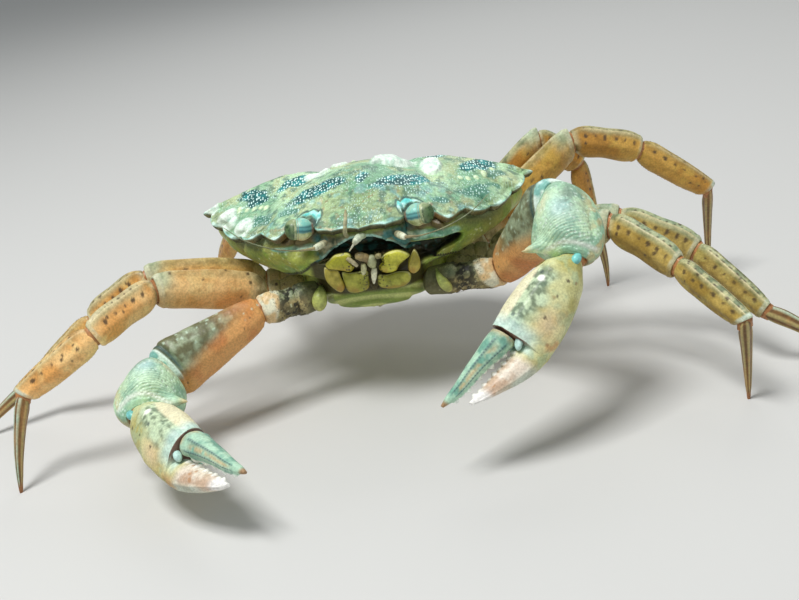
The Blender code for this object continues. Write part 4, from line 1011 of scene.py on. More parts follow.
def claw_tint(part, tt, aa, mm, seed):
    """Colours of the claw's hip and merus."""
    top = soft(np.sin(aa), 0.2, 0.7)
    if part == "hip":
        col = lerp((0.26, 0.20, 0.08), (0.46, 0.38, 0.17), cloud(mm, 2.4, 3, seed, 0.35, 0.65))
        green = lerp((0.16, 0.24, 0.15), (0.42, 0.48, 0.30), cloud(mm, 1.0, 3, seed + 9, 0.4, 0.6))
        col = lerp(col, green, 0.75 * top)
        col = lerp(col, (0.12, 0.12, 0.05), 0.85 * fade(tt, 0.22, 0.36))
        col = lerp(col, (0.08, 0.08, 0.035), 0.75 * bump(tt - 0.48, 0.24) * cloud(mm, 2.6, 2, seed + 8, 0.35, 0.55))
        black = cloud(mm, 0.9, 3, seed + 4, 0.47, 0.56) * bump(tt - 0.52, 0.26)
        col = lerp(col, (0.015, 0.015, 0.010), 0.95 * black)
        fleck, kind = cells(mm, 0.8, seed + 12)
        col = lerp(col, (0.60, 0.60, 0.36), 0.7 * fade(fleck, 0.18, 0.30) * (kind > 0.55) * bump(tt - 0.5, 0.3))
        pale = lerp((0.80, 0.56, 0.28), (0.84, 0.82, 0.62), cloud(mm, 2.2, 2, seed + 14, 0.42, 0.56))
        return lerp(col, pale, 0.8 * soft(tt + 0.10 * np.sin(aa), 0.74, 0.80))
    col = lerp((0.58, 0.22, 0.06), (0.70, 0.36, 0.12), cloud(mm, 5.0, 3, seed, 0.35, 0.65))
    # Upper side of the merus painted dark green-grey: its own mottled colour, darkened as painted shade
    green = lerp((0.09, 0.13, 0.07), (0.25, 0.35, 0.23), cloud(mm, 1.4, 3, seed + 2, 0.38, 0.62))
    wide_top = soft(np.sin(aa), 0.35 - 0.75 * tt, 0.95 - 0.75 * tt)
    col = lerp(col, green, 0.9 * wide_top * soft(tt + 0.25 * top, 0.25, 0.75))
    speck, kind = cells(mm, 1.3, seed + 6)
    col = lerp(col, (0.62, 0.80, 0.62), 0.6 * fade(speck, 0.16, 0.26) * top * (kind > 0.4))
    col = lerp(col, (0.10, 0.07, 0.04), 0.8 * fade(speck, 0.14, 0.2) * (1 - top) * (kind < 0.16))
    col = lerp(col, (0.03, 0.09, 0.09), 0.8 * bump(tt - 0.915, 0.022) * soft(np.sin(aa), -0.2, 0.4))
    edge_tone = lerp((0.24, 0.52, 0.46), (0.80, 0.94, 0.84), cloud(mm, 1.6, 2, seed + 3, 0.35, 0.6))
    return lerp(col, edge_tone, soft(tt, 0.938, 0.955) * soft(np.sin(aa), -0.35, 0.25))


def carpus_grid(points, planes, roll, spine):
    """The claw's carpus, drawn out to a blunt spine on its inner side."""
    def relief(tt, aa):
        return 0.004 * bump(tt - 0.80, 0.05) * np.sin(aa) - 0.003 * bump(tt - 0.93, 0.03)
    grid, tt, aa = segment_grid(points[2], points[3], CLAW_FORMS["carpus"], 1.0, roll, planes[2:4], 0.0, relief,
                                190, 240)
    middle = points[2] + (points[3] - points[2]) * 0.62
    rays = grid - middle
    reach = np.linalg.norm(rays, axis=-1)
    way = unit(spine)
    cosine = (rays @ way) / np.maximum(reach, 1e-9)
    tangent = np.sqrt(np.maximum(1 - cosine ** 2, 0)) / np.maximum(cosine, 1e-3)
    wide = SPINE_RADIUS * 1.25
    cone = wide / (tangent + wide / (SPINE_REACH * 0.99)) / np.maximum(cosine, 1e-3)
    cone = np.where(cosine > 0.2, cone, 0)
    taller = np.maximum(cone - reach, 0)
    pull = np.where(cone > 0, taller + 0.006 * np.exp(-((cone - reach) / 0.012) ** 2), 0)
    near_spine = soft(cosine, 0.80, 0.97) * soft(reach + pull, 0.105, 0.14)
    return grid + rays / np.maximum(reach, 1e-9)[..., None] * pull[..., None], tt, aa, near_spine


def carpus_finish(grid, tt, aa, near_spine, seed, way):
    """Granules in wavy lines over the carpus and its bluish, peach and mottled colours."""
    mm = grid * MM
    turn = turn_from(aa, 90) * way
    side_turn = turn_from(aa, 80)
    warp = rough(mm, 2.6, 3, seed) * 1.1
    lines = np.sin((tt * 27 + side_turn / 20 + warp) * 2 * math.pi)
    zone = within(tt, 0.42, 0.66, 0.86, 0.93) * soft(90 - np.abs(side_turn), 0, 40)
    grains, kind = cells(mm, 0.75, seed + 1)
    granule = fade(grains, 0.2, 0.45)
    top = soft(np.sin(aa), -0.25, 0.3)
    lift = (0.0011 * lines * zone * (0.5 + granule) + 0.0016 * granule * top
            + 0.002 * waver(mm, 3.5, 3, seed + 2))
    lift = lift + 0.004 * bump(turn - 66, 7) * soft(tt, 0.12, 0.3) * fade(tt, 0.78, 0.9)
    lift = lift * soft(tt, 0.01, 0.06) * fade(tt, 0.94, 0.99)
    shape = raised(grid, lift)
    col = lerp((0.29, 0.51, 0.34), (0.54, 0.77, 0.49), cloud(mm, 3.0, 3, seed + 3, 0.35, 0.62))
    blue = bump(tt - 0.48, 0.18) * bump(turn - 12, 30)
    col = lerp(col, lerp((0.30, 0.50, 0.52), (0.56, 0.78, 0.78), rough(mm, 1.2, 3, seed + 4)), 0.75 * blue)
    dark = cloud(mm, 1.2, 3, seed + 5, 0.42, 0.6) * bump(tt - 0.32, 0.20) * bump(turn - 38, 24)
    col = lerp(col, (0.22, 0.30, 0.24), 0.75 * dark)
    peach = cloud(mm, 2.0, 2, seed + 6, 0.36, 0.56) * bump(tt - 0.25, 0.18) * bump(turn + 32, 24)
    col = lerp(col, (0.80, 0.66, 0.44), 0.55 * peach)
    tan = cloud(mm, 1.7, 2, seed + 7, 0.46, 0.58) * bump(turn - 84, 24) * soft(tt, 0.1, 0.3)
    col = lerp(col, (0.62, 0.46, 0.20), 0.65 * tan)
    col = lerp(col, (0.84, 0.92, 0.72), 0.55 * soft(lines, 0.1, 0.8) * zone * (0.4 + granule))
    col = lerp(col, (0.30, 0.44, 0.38), 0.30 * soft(-lines, 0.2, 0.8) * zone)
    speck = granule * top * (kind > 0.55)
    col = lerp(col, (0.80, 0.94, 0.84), 0.5 * speck)
    col = lerp(col, (0.74, 0.52, 0.22), 0.75 * near_spine)
    col = lerp(col, (0.50, 0.34, 0.15), 0.7 * soft(-np.sin(aa), 0.1, 0.6))
    col = lerp(col, (0.90, 0.95, 0.84), 0.75 * bump(tt - 0.90, 0.022) * top)
    return shape, col


def hand_values(along):
    """Upper edge, lower edge and width of the palm and fixed finger, with a steep step between them."""
    whole = np.array(HAND_FORM + HAND_STEP + FIXED_FINGER_FORM)
    palm = catmull(HAND_FORM, np.minimum(along, HAND_END))
    finger = catmull(FIXED_FINGER_FORM, np.maximum(along, FINGER_START))
    values = np.where((along < HAND_END)[:, None], palm, finger)
    between = (along >= HAND_END) & (along <= FINGER_START)
    for column in range(3):
        values[between, column] = np.interp(along[between], whole[:, 0], whole[:, column + 1])
    return values


def hand_grid(origin, axes, along, values, cols):
    """Surface of a hand or finger with its distances along, its heights, its angles and places across."""
    axis, side_way, upper = axes
    angle = full_turn(cols)
    rise = np.sign(np.sin(angle)) * np.abs(np.sin(angle)) ** 0.9
    height = (values[:, :1] + values[:, 1:2]) / 2 + (values[:, :1] - values[:, 1:2]) / 2 * rise
    across = np.cos(angle) * values[:, 2:3] / 2
    aa = np.broadcast_to(angle, height.shape)
    dd = np.broadcast_to(along[:, None], height.shape)
    grid = origin + axis * dd[..., None] + upper * height[..., None] + side_way * across[..., None]
    return grid, dd, height, aa, across


def finger_teeth(dd, aa, first, last, edge_angle):
    """Blunt teeth on a finger's biting edge, larger and smaller by turns."""
    place_on = (dd - first) / (last - first) * TOOTH_COUNT
    inside = soft(place_on, 0.0, 0.3) * fade(place_on, TOOTH_COUNT - 0.3, TOOTH_COUNT)
    big = np.where(np.floor(place_on) % 2 == 0, 1.0, 0.62)
    tooth = np.maximum(np.sin((place_on % 1) * math.pi), 0) ** 0.8 * big
    return tooth * inside * bump(turn_from(aa, edge_angle), 30)


def hand_colours(dd, height, aa, mm, seed):
    """Cream palm with a mottled grey-green upper part, spots, a turquoise hinge and a pale, spotted fixed finger."""
    col = lerp((0.47, 0.43, 0.14), (0.68, 0.68, 0.34), cloud(mm, 4.0, 3, seed, 0.32, 0.60))
    mossy = cloud(mm, 1.8, 3, seed + 12, 0.50, 0.66)
    col = lerp(col, (0.40, 0.52, 0.30), 0.6 * mossy)
    pink = bump(dd - 0.18, 0.045) * bump(height + 0.025, 0.035)
    col = lerp(col, (0.76, 0.50, 0.30), 0.6 * pink)
    rust = cloud(mm, 3.0, 3, seed + 1, 0.40, 0.60) * soft(-height, 0.030, 0.065) * soft(dd, 0.06, 0.16)
    col = lerp(col, (0.56, 0.28, 0.09), 0.75 * rust)
    upper_part = soft(height + 0.07 * waver(mm, 3.0, 3, seed + 2), -0.002, 0.034)
    upper_part = upper_part * fade(dd, 0.235, 0.25) * soft(dd, 0.035, 0.07)
    grey = lerp((0.14, 0.21, 0.15), (0.58, 0.73, 0.50), cloud(mm, 1.1, 3, seed + 3, 0.36, 0.58))
    col = lerp(col, grey, 0.86 * upper_part)
    spots, kind = cells(mm, 1.5, seed + 4)
    mark = fade(spots, 0.2, 0.34) * (kind > 0.45) * upper_part * cloud(mm, 2.2, 2, seed + 9, 0.4, 0.55)
    col = lerp(col, (0.07, 0.10, 0.09), 0.8 * mark)
    col = lerp(col, (0.86, 0.78, 0.52), 0.8 * soft(height, 0.066, 0.074) * fade(dd, 0.22, 0.24))
    hinge = within(dd, 0.195, 0.235, 0.262, 0.275) * soft(height + 0.3 * (dd - 0.2), -0.035, 0.01)
    col = lerp(col, lerp((0.38, 0.62, 0.54), (0.78, 0.92, 0.82), rough(mm, 1.0, 2, seed + 5)), 0.85 * hinge)
    for spot_along, spot_up, wide in ((0.056, -0.010, 0.0040), (0.170, -0.011, 0.0040), (0.106, -0.007, 0.0032)):
        gap = np.hypot(dd - spot_along, height - spot_up)
        col = lerp(col, (0.07, 0.05, 0.03), 0.85 * fade(gap, wide, wide * 1.5))
    gap = np.hypot(dd - 0.088, height - 0.050)
    col = lerp(col, (0.96, 0.97, 0.86), 0.95 * fade(gap + 0.004 * rough(mm, 0.8, 2, seed + 6), 0.009, 0.014))
    small, kind = cells(mm, 2.2, seed + 7)
    dots = fade(small, 0.10, 0.16) * (kind > 0.6) * (1 - upper_part)
    col = lerp(col, (0.30, 0.17, 0.07), 0.7 * dots)
    # Fixed finger
    finger = soft(dd, 0.262, 0.30)
    pale = lerp((0.60, 0.43, 0.30), (0.80, 0.70, 0.57), cloud(mm, 2.0, 3, seed + 8, 0.35, 0.62))
    brown = fade(spots, 0.22, 0.36) * (kind > 0.3) * soft(height, -0.06, -0.02)
    pale = lerp(pale, (0.48, 0.25, 0.12), 0.75 * brown)
    pale = lerp(pale, (0.42, 0.60, 0.50), 0.55 * soft(-np.sin(aa), 0.1, 0.6) * fade(dd, 0.33, 0.40))
    pale = lerp(pale, (0.93, 0.91, 0.86), soft(dd, 0.385, 0.415))
    return lerp(col, pale, finger)


def finger_colours(dd, aa, mm, seed):
    """Turquoise moving finger with dotted dark furrows, an orange band between them and a brown tip."""
    col = lerp((0.18, 0.40, 0.30), (0.44, 0.67, 0.49), cloud(mm, 2.0, 3, seed, 0.35, 0.62))
    for centre in (0, 180):
        turn = turn_from(aa, centre)
        band = bump(turn, 15) * soft(dd, 0.02, 0.06) * fade(dd, 0.17, 0.2)
        col = lerp(col, (0.72, 0.45, 0.20), 0.6 * band * cloud(mm, 1.2, 2, seed + 1, 0.3, 0.55))
        for line in (-24, 24):
            beat = 0.55 + 0.45 * np.cos(dd * 2 * math.pi / 0.0085)
            furrow = bump(turn - line, 6.5) * soft(dd, 0.012, 0.03) * fade(dd, 0.185, 0.21)
            col = lerp(col, (0.05, 0.10, 0.12), 0.92 * furrow * (0.45 + 0.55 * beat))
    col = lerp(col, (0.68, 0.46, 0.22), 0.6 * fade(dd, 0.0, 0.022) * cloud(mm, 1.4, 2, seed + 2, 0.35, 0.55))
    return lerp(col, (0.36, 0.22, 0.11), soft(dd, 0.215, 0.229))


def knob(name, centre, radii, axes, tone):
    """A small rounded joint knob, longer one way than another."""
    uu, vv = np.meshgrid(np.linspace(0.12, math.pi - 0.12, 16), full_turn(28), indexing="ij")
    ball = np.stack((np.sin(uu) * np.cos(vv), np.sin(uu) * np.sin(vv), np.cos(uu)), -1) * radii
    grid = centre + sum(ball[..., k:k + 1] * axes[k] for k in range(3))
    grid = raised(grid, 0.0016 * waver(grid * MM, 0.9, 2, 8))
    tint = lerp(np.array(tone) * 0.7, tone, cloud(grid * MM, 0.7, 2, 5, 0.3, 0.6))
    caps = tuple((grid[at].mean(0), tone) for at in (0, -1))
    piece(name, grid, tint, SMOOTH, (), caps)


def make_claw_arm(side, points, ways, planes, seed):
    """Hip, merus and carpus of a claw, with their hairs."""
    name = "claw_%s_" % side
    roll = np.array(CLAW_ROLL[side])
    for index, part in enumerate(("hip", "merus")):
        grid, tt, aa = segment_grid(points[index], points[index + 1], CLAW_FORMS[part], 1.0, roll,
                                    planes[index:index + 2], 0.0, claw_relief(part), 120, 110)
        mm = grid * MM
        grains, _ = cells(mm, 0.9, seed + 20)
        granules = 0.0011 * fade(grains, 0.15, 0.45) * soft(np.sin(aa), 0, 0.4)
        grid = raised(grid, within(tt, 0, 0.06, 0.93, 0.99)
                      * (0.003 * waver(mm, 3.0, 3, seed) + granules))
        limb_piece(name + part, grid, claw_tint(part, tt, aa, mm, seed + index), RED_SKIN, 0.02)
        rng = np.random.default_rng(seed + index)
        if part == "hip":
            found = hairs_on(grid, (40, 84), (0, grid.shape[1]), 420, 0.012, 0.032, ways[0] * 1.8 - (0, 0, 0.5), rng)
            strands(name + "base_hairs", *found, 0.0008, (0.07, 0.055, 0.03))
        else:
            found = hairs_on(grid, (30, 112), (66, 100), 260, 0.005, 0.013, ways[1] * 0.8, rng)
            strands(name + "merus_hairs", *found, 0.0006, (0.40, 0.30, 0.18))
    # The outer side lies the other way round on the right claw
    grid, tint = carpus_finish(*carpus_grid(points, planes, roll, CARPUS_SPINE[side]), seed + 5,
                               1 if side == "left" else -1)
    limb_piece(name + "carpus", grid, tint, RED_SKIN, 0.02)


def make_claw(side):
    """A claw: its arm, the palm with the fixed finger, the moving finger, knobs and joint skins."""
    points, ways, planes, hand_side, hand_upper, origin = claw_frame(side)
    name = "claw_%s_" % side
    seed = 61 if side == "left" else 83
    make_claw_arm(side, points, ways, planes, seed)
    axis = ways[3]
    axes = (axis, hand_side, hand_upper)
    along = np.unique(np.concatenate((np.linspace(0, 0.24, 110), np.linspace(0.24, FINGER_START, 14),
                                      np.linspace(FINGER_START, FIXED_FINGER_FORM[-1][0], 100))))
    grid, dd, height, aa, across = hand_grid(origin, axes, along, hand_values(along), 112)
    # The wrist end lies flat against the joint plane
    blend = fade(dd, 0.0, 0.02)[..., None]
    flat = grid - ((grid - points[3]) @ planes[3] - GAP / 2)[..., None] * planes[3]
    grid = np.where(dd[..., None] == 0, flat, grid + (flat[:1] - grid[:1]) * blend * 0.6)
    mm = grid * MM
    palm = within(dd, 0.01, 0.04, 0.236, 0.246)
    sides = soft(np.abs(across), 0.01, 0.03)
    grains, _ = cells(mm, 0.85, seed + 30)
    lift = palm * (0.0035 * waver(mm, 4.0, 3, seed + 31)
                   + 0.0011 * fade(grains, 0.15, 0.4) * soft(height, 0.01, 0.05))
    lift = lift + 0.0045 * bump(height - 0.070, 0.010) * palm
    lift = lift - 0.0035 * palm * bump(height - 0.045, 0.012) * sides
    lift = lift - 0.0035 * palm * bump(height + 0.062, 0.010) * soft(dd, 0.1, 0.15)
    for up_at in (-0.012, 0.066):
        lift = lift + 0.006 * bump(np.hypot(dd - 0.238, height - up_at), 0.012) * sides
    finger_part = within(dd, 0.262, 0.29, 0.42, 0.44)
    lift = lift - 0.0028 * finger_part * (bump(turn_from(aa, 335), 8) + bump(turn_from(aa, 205), 8)
                                          + 0.8 * bump(turn_from(aa, 300), 8) + 0.8 * bump(turn_from(aa, 240), 8))
    grid = raised(grid, lift)
    teeth = finger_teeth(dd, aa, 0.268, 0.432, 90)
    grid = grid + hand_upper * (TOOTH_HEIGHT * teeth)[..., None]
    tint = hand_colours(dd, height, aa, mm, seed + 32)
    tint = lerp(tint, (0.93, 0.92, 0.86), 0.8 * soft(teeth, 0.2, 0.5))
    step = within(dd, 0.2462, 0.2470, FINGER_START, 0.253) * soft(height, -0.02, 0.0)
    tint = lerp(tint, (0.16, 0.05, 0.03), 0.9 * step)
    limb_piece(name + "hand", grid, tint, RED_SKIN, 0.015, (0,))

    hinge = origin + axis * (HAND_END + HINGE_LENGTH + GAP)
    form = np.array(MOVING_FINGER_FORM)
    share = np.linspace(0, 1, 150)
    values = catmull(np.column_stack((form[:, 0] / form[-1, 0], form[:, 1:])), share)
    grid, dd, height, aa, across = hand_grid(hinge, axes, share * form[-1, 0], values, 88)
    mm = grid * MM
    lift = -0.0034 * lines_at(aa, (-24, 24, 156, 204), 7.5)
    lift = lift * soft(dd, 0.01, 0.03) * fade(dd, 0.18, 0.22) * np.interp(dd, (0, form[-1, 0]), (1, 0.35))
    lift = lift - 0.004 * bump(dd - 0.012, 0.006) * soft(np.abs(np.cos(aa)), 0.2, 0.7)
    teeth = finger_teeth(dd, aa, 0.030, 0.215, 270)
    grid = raised(grid, lift) - hand_upper * (teeth * TOOTH_HEIGHT)[..., None]
    tint = lerp(finger_colours(dd, aa, mm, seed + 50), (0.93, 0.94, 0.88), 0.8 * soft(teeth, 0.2, 0.5))
    limb_piece(name + "finger", grid, tint, RED_SKIN, 0.012, (0,))

    third = np.cross(axis, hand_upper)
    slanted = (unit(axis - 0.5 * hand_upper), unit(hand_upper + 0.5 * axis), third)
    for number, way in enumerate((hand_side, -hand_side)):
        knob(name + "wrist_knob_%d" % number, points[3] + way * 0.032 + axis * 0.003, (0.017, 0.0125, 0.012),
             (axis, hand_upper, third), (0.22, 0.66, 0.62))
        knob(name + "finger_knob_%d" % number, hinge - axis * GAP * 0.2 + way * 0.033 + hand_upper * 0.006,
             (0.019, 0.0105, 0.012), slanted, (0.58, 0.84, 0.76))
    joint_skins(name + "joint_skins", [(points[k], ways[k - 1], ways[k], high, wide) for k, high, wide in
                                       ((1, 0.080, 0.072), (2, 0.100, 0.086), (3, 0.072, 0.072))])


THORAX_FLOOR = -0.29
HOLLOW_DEPTH = 0.060
# Levels of the breast: share down, scales across, ahead and behind, and how far each follows the eye sockets
THORAX_LEVELS = (
    (0.00, SEAM, SEAM, SEAM, 1.0), (0.16, 0.925, 0.935, 0.925, 1.0), (0.31, 0.86, 0.925, 0.92, 0.0),
    (0.45, 0.70, 0.90, 0.90, 0.0), (0.55, 0.50, 0.88, 0.88, 0.0), (0.59, 0.465, 0.87, 0.87, 0.0),
    (0.84, 0.45, 0.79, 0.81, 0.0), (0.95, 0.38, 0.68, 0.70, 0.0), (1.00, 0.24, 0.48, 0.45, 0.0),
)
MOUTH_TOP = (-0.318, -0.10)
MOUTH_BOTTOM = (-0.262, -0.255)
CHEEK_LINE = ((0.300, -0.168), (0.240, -0.158), (0.199, -0.146), (0.160, -0.124), (0.127, -0.108), (0.106, -0.094),
              (0.086, -0.077), (0.060, -0.061), (0.033, -0.050), (0.0, -0.046))


def mouth_plane(z):
    """How far front or rear the mouth field lies at a height."""
    share = (z - MOUTH_TOP[1]) / (MOUTH_BOTTOM[1] - MOUTH_TOP[1])
    return MOUTH_TOP[0] + (MOUTH_BOTTOM[0] - MOUTH_TOP[0]) * share


def make_thorax():
    """Cheeks with their beaded line, the hollow over the mouth painted dark as shade, the breastplate and its ridges.
    """
    steps = 10
    folded, plain = edge(0.0, 1.0, steps), edge(0.0, 0.0, steps)
    seam = shell_under(folded * SEAM, SEAM, GAP)[:, 2]
    levels = np.array(THORAX_LEVELS)
    index = np.linspace(0, len(levels) - 1, 170)
    values = catmull(np.column_stack((np.arange(len(levels)), levels)), index)
    values[:, 0] = np.maximum.accumulate(values[:, 0])
    rows = []
    for down, across, ahead, behind, orbit in values:
        ring = folded * np.clip(orbit, 0, 1) + plain * (1 - np.clip(orbit, 0, 1))
        y = np.where(ring[:, 1] < 0, ring[:, 1] * ahead, ring[:, 1] * behind)
        x = ring[:, 0] * across
        z = seam * (1 - down) + THORAX_FLOOR * down
        mouth = fade(np.abs(x), 0.150, 0.180) * soft(-z, 0.070, 0.095)
        y = y + (np.maximum(y, mouth_plane(z)) - y) * mouth
        rows.append(np.column_stack((x, y, z)))
    inner = [shell_under(folded * share, share, GAP) for share in (0.30, 0.60, 0.80, 0.88)]
    grid = np.array(inner + rows)
    x, y, z = grid[..., 0], grid[..., 1], grid[..., 2]
    ax = np.abs(x)
    mm = grid * MM
    front = soft(-y, 0.05, 0.20)
    below = soft(-z, 0.03, 0.05)
    gap, run, hand = along_path(ax, z, CHEEK_LINE)
    wavy = 0.022 * waver(mm, 4.5, 2, 81)
    ridge_height = np.interp(ax, *zip(*CHEEK_LINE[::-1]))
    hollow = front * soft(ridge_height - z, 0.001, 0.012) * fade(-z + 0.4 * wavy, 0.108, 0.122)
    hollow = hollow * fade(ax + wavy, 0.125, 0.150)
    shadow = front * soft(x, 0.115, 0.135) * fade(x + wavy, 0.250, 0.285) * soft(-z + 0.3 * wavy, 0.090, 0.099)
    shadow = shadow * fade(-z + wavy + 0.36 * (x - 0.14), 0.146, 0.164)
    hollow = np.maximum(hollow, shadow)
    ridge = front * bump(gap, 0.0050) * fade(ax, 0.145, 0.175)
    over = front * below * fade(ax, 0.12, 0.15) * soft(z - ridge_height, 0.0, 0.008)
    groove = front * bump(gap, 0.007) * soft(ax, 0.14, 0.17) * (0.5 + 0.5 * (hand > 0))
    waves = 0.024 * waver(mm, 3.2, 3, 83)
    strip_at = np.where(x > 0, -0.079 + 0.5 * waves, -0.073 + 0.3 * waves)
    strip = front * soft(ax, 0.125, 0.150) * fade(ax + 1.5 * waves, 0.245, 0.285)
    strip = strip * bump(z - strip_at, np.where(x > 0, 0.0125, 0.0065))
    socket = front * soft(ax, 0.10, 0.125) * fade(ax, 0.22, 0.26)
    socket = socket * fade(-z + 0.03 * waver(mm, 2.0, 2, 82), 0.060, 0.076)
    toothlet = np.hypot((ax - 0.139) / 0.016, (z + 0.0735 + 0.45 * (ax - 0.139)) / 0.0068)
    toothlet = front * fade(toothlet, 0.65, 1.1)
    plate = soft(-z, 0.218, 0.230)
    layers = np.sin((z + 0.35 * (y + 0.26)) / 0.0125 * math.pi + rough(mm, 6.0, 2, 4) * 2)
    breast = plate * front
    under = soft(-z, 0.275, 0.285)
    seams = sum(bump(y - at - 0.10 * ax, 0.006) for at in (-0.13, -0.025, 0.075, 0.160))
    seams = seams * under * soft(ax, 0.05, 0.07)
    wall = soft(ax, 0.25, 0.33) * soft(-z, 0.10, 0.16)
    grains, kind = cells(mm, 0.85, 23)
    granule = fade(grains, 0.16, 0.42)
    cheek = front * soft(ax, 0.16, 0.20) * below
    bead = front * bump(gap, 0.0034) * (0.5 + 0.5 * np.cos(run / 0.0072 * 2 * math.pi)) * soft(ax, 0.13, 0.15)
    lift = 0.010 * hollow * waver(mm, 1.6, 3, 86) + 0.007 * ridge - 0.007 * groove
    lift = (lift + 0.007 * strip + 0.008 * toothlet - 0.006 * socket + 0.0022 * breast * layers
            + 0.008 * over * waver(mm, 1.3, 3, 87))
    lift = (lift - 0.004 * seams + 0.0018 * granule * cheek + 0.003 * bead
            + 0.004 * waver(mm, 5.0, 3, 9) * below)
    lift = lift * soft(np.arange(len(grid)), 4, 12)[:, None]
    shape = raised(grid, lift)
    shape[..., 1] += HOLLOW_DEPTH * hollow
    base = lerp((0.25, 0.37, 0.055), (0.46, 0.59, 0.12), cloud(mm, 4.0, 3, 31, 0.35, 0.65))
    base = lerp(base, (0.20, 0.31, 0.10), 0.65 * cloud(mm, 1.8, 3, 32, 0.48, 0.64) * cheek)
    base = lerp(base, (0.48, 0.37, 0.09), 0.35 * cloud(mm, 3.0, 2, 33, 0.48, 0.64))
    # Painted shade on the outer cheeks under the side teeth, strongest high up
    outer = soft(ax + 2.0 * wavy, 0.27, 0.37)
    base = lerp(base, (0.11, 0.15, 0.05), 0.65 * front * outer * (1 - 0.5 * soft(-z, 0.12, 0.16)))
    # Painted shade: darker brown-olive at the top of the cheeks just under the shell's edge
    margin = fade(-z - 0.10 * ax, 0.034, 0.060)
    base = lerp(base, (0.19, 0.20, 0.06), 0.75 * front * soft(ax, 0.20, 0.26) * margin)
    base = lerp(base, (0.74, 0.84, 0.52), 0.7 * granule * cheek * (kind > 0.72) * soft(-z, 0.07, 0.09))
    brown = lerp((0.34, 0.24, 0.12), (0.60, 0.46, 0.24), rough(mm, 2.0, 3, 34))
    base = lerp(base, brown, 0.7 * np.maximum(wall, soft(y, 0.16, 0.28)))
    greens = lerp((0.20, 0.27, 0.05), (0.52, 0.56, 0.20), soft(layers, -0.6, 0.8))
    base = lerp(base, greens, 0.85 * breast)
    base = lerp(base, lerp((0.50, 0.50, 0.24), (0.74, 0.70, 0.42), rough(mm, 4.0, 3, 35)), 0.8 * under)
    base = lerp(base, (0.16, 0.14, 0.06), 0.75 * seams)
    turquoise = lerp((0.20, 0.46, 0.34), (0.52, 0.84, 0.66), cloud(mm, 2.2, 3, 36, 0.35, 0.62))
    base = lerp(base, turquoise, 0.9 * soft(strip, 0.15, 0.6))
    base = lerp(base, (0.86, 0.95, 0.80), 0.7 * strip * granule * (kind > 0.4))
    # Painted shade in the eye socket recess under the shell's edge
    base = lerp(base, lerp((0.06, 0.045, 0.02), (0.20, 0.14, 0.06), rough(mm, 1.5, 3, 37)), 0.95 * socket)
    base = lerp(base, lerp((0.04, 0.07, 0.055), (0.30, 0.27, 0.17), cloud(mm, 1.3, 3, 40, 0.35, 0.62)), 0.92 * over)
    # Teal patches: painted sheen, a painted reflection
    base = lerp(base, (0.05, 0.27, 0.27), 0.7 * over * cloud(mm, 1.8, 3, 41, 0.50, 0.62))
    base = lerp(base, (0.80, 0.88, 0.64), 0.95 * toothlet)
    # The hollow over the mouth is painted near black as painted shade, with teal patches of painted sheen
    sheen = cloud(mm, 1.1, 3, 38, 0.54, 0.68) * (1 - 0.9 * socket)
    dark = lerp((0.008, 0.011, 0.008), (0.05, 0.04, 0.022), cloud(mm, 2.2, 2, 42, 0.45, 0.65))
    dark = lerp(dark, (0.02, 0.10, 0.09), sheen)
    base = lerp(base, dark, 0.97 * soft(hollow, 0.15, 0.55))
    # Teal ridge with pale blotches of painted highlight
    ridge_tone = lerp((0.03, 0.18, 0.18), (0.50, 0.80, 0.70), cloud(mm, 1.2, 3, 43, 0.42, 0.60))
    base = lerp(base, ridge_tone, 0.9 * soft(ridge, 0.25, 0.7))
    base = lerp(base, (0.04, 0.035, 0.02), 0.9 * soft(groove, 0.25, 0.7))
    base = lerp(base, (0.035, 0.03, 0.025), 0.95 * soft(bead, 0.35, 0.6))
    # Painted shade on the mouth field between and behind the mouth plates
    field = front * fade(ax, 0.15, 0.17) * soft(-z, 0.110, 0.120) * fade(-z, 0.220, 0.230)
    base = lerp(base, (0.05, 0.038, 0.014), 0.95 * field)
    hairy = front * soft(ax, 0.17, 0.20) * fade(ax, 0.30, 0.36)
    hairy = hairy * soft(-z, 0.158, 0.17) * fade(-z, 0.25, 0.27)
    base = lerp(base, (0.09, 0.07, 0.035), 0.8 * hairy * cloud(mm * (1, 1, 0.3), 0.7, 3, 39, 0.3, 0.6))
    rim = bump(np.arange(len(grid))[:, None] - 8, 6) * np.ones(z.shape) * (1 - front * fade(ax, 0.24, 0.3))
    base = lerp(base, (0.30, 0.44, 0.30), 0.5 * rim)
    floor_point = np.array((0.0, -0.01, THORAX_FLOOR))
    top_point = np.array((0.0, 0.0, 0.03 - SHELL_EDGE - GAP))
    caps = tuple((place(p), (0.6, 0.56, 0.3)) for p in (top_point, floor_point))
    piece("thorax_shell", place(shape), base, LIMB, ("thorax",), caps)


# The tail's middle line from the rear on, by place from front to rear and height
TAIL_PATH = ((0.358, -0.15), (0.348, -0.195), (0.330, -0.25), (0.294, -0.286), (0.236, -0.303),
             (0.12, -0.3075), (0.0, -0.3075), (-0.09, -0.3075))
TAIL_WIDTHS = (0.25, 0.25, 0.23, 0.20, 0.17, 0.13, 0.085, 0.03)
TAIL_THICKNESS = 0.022


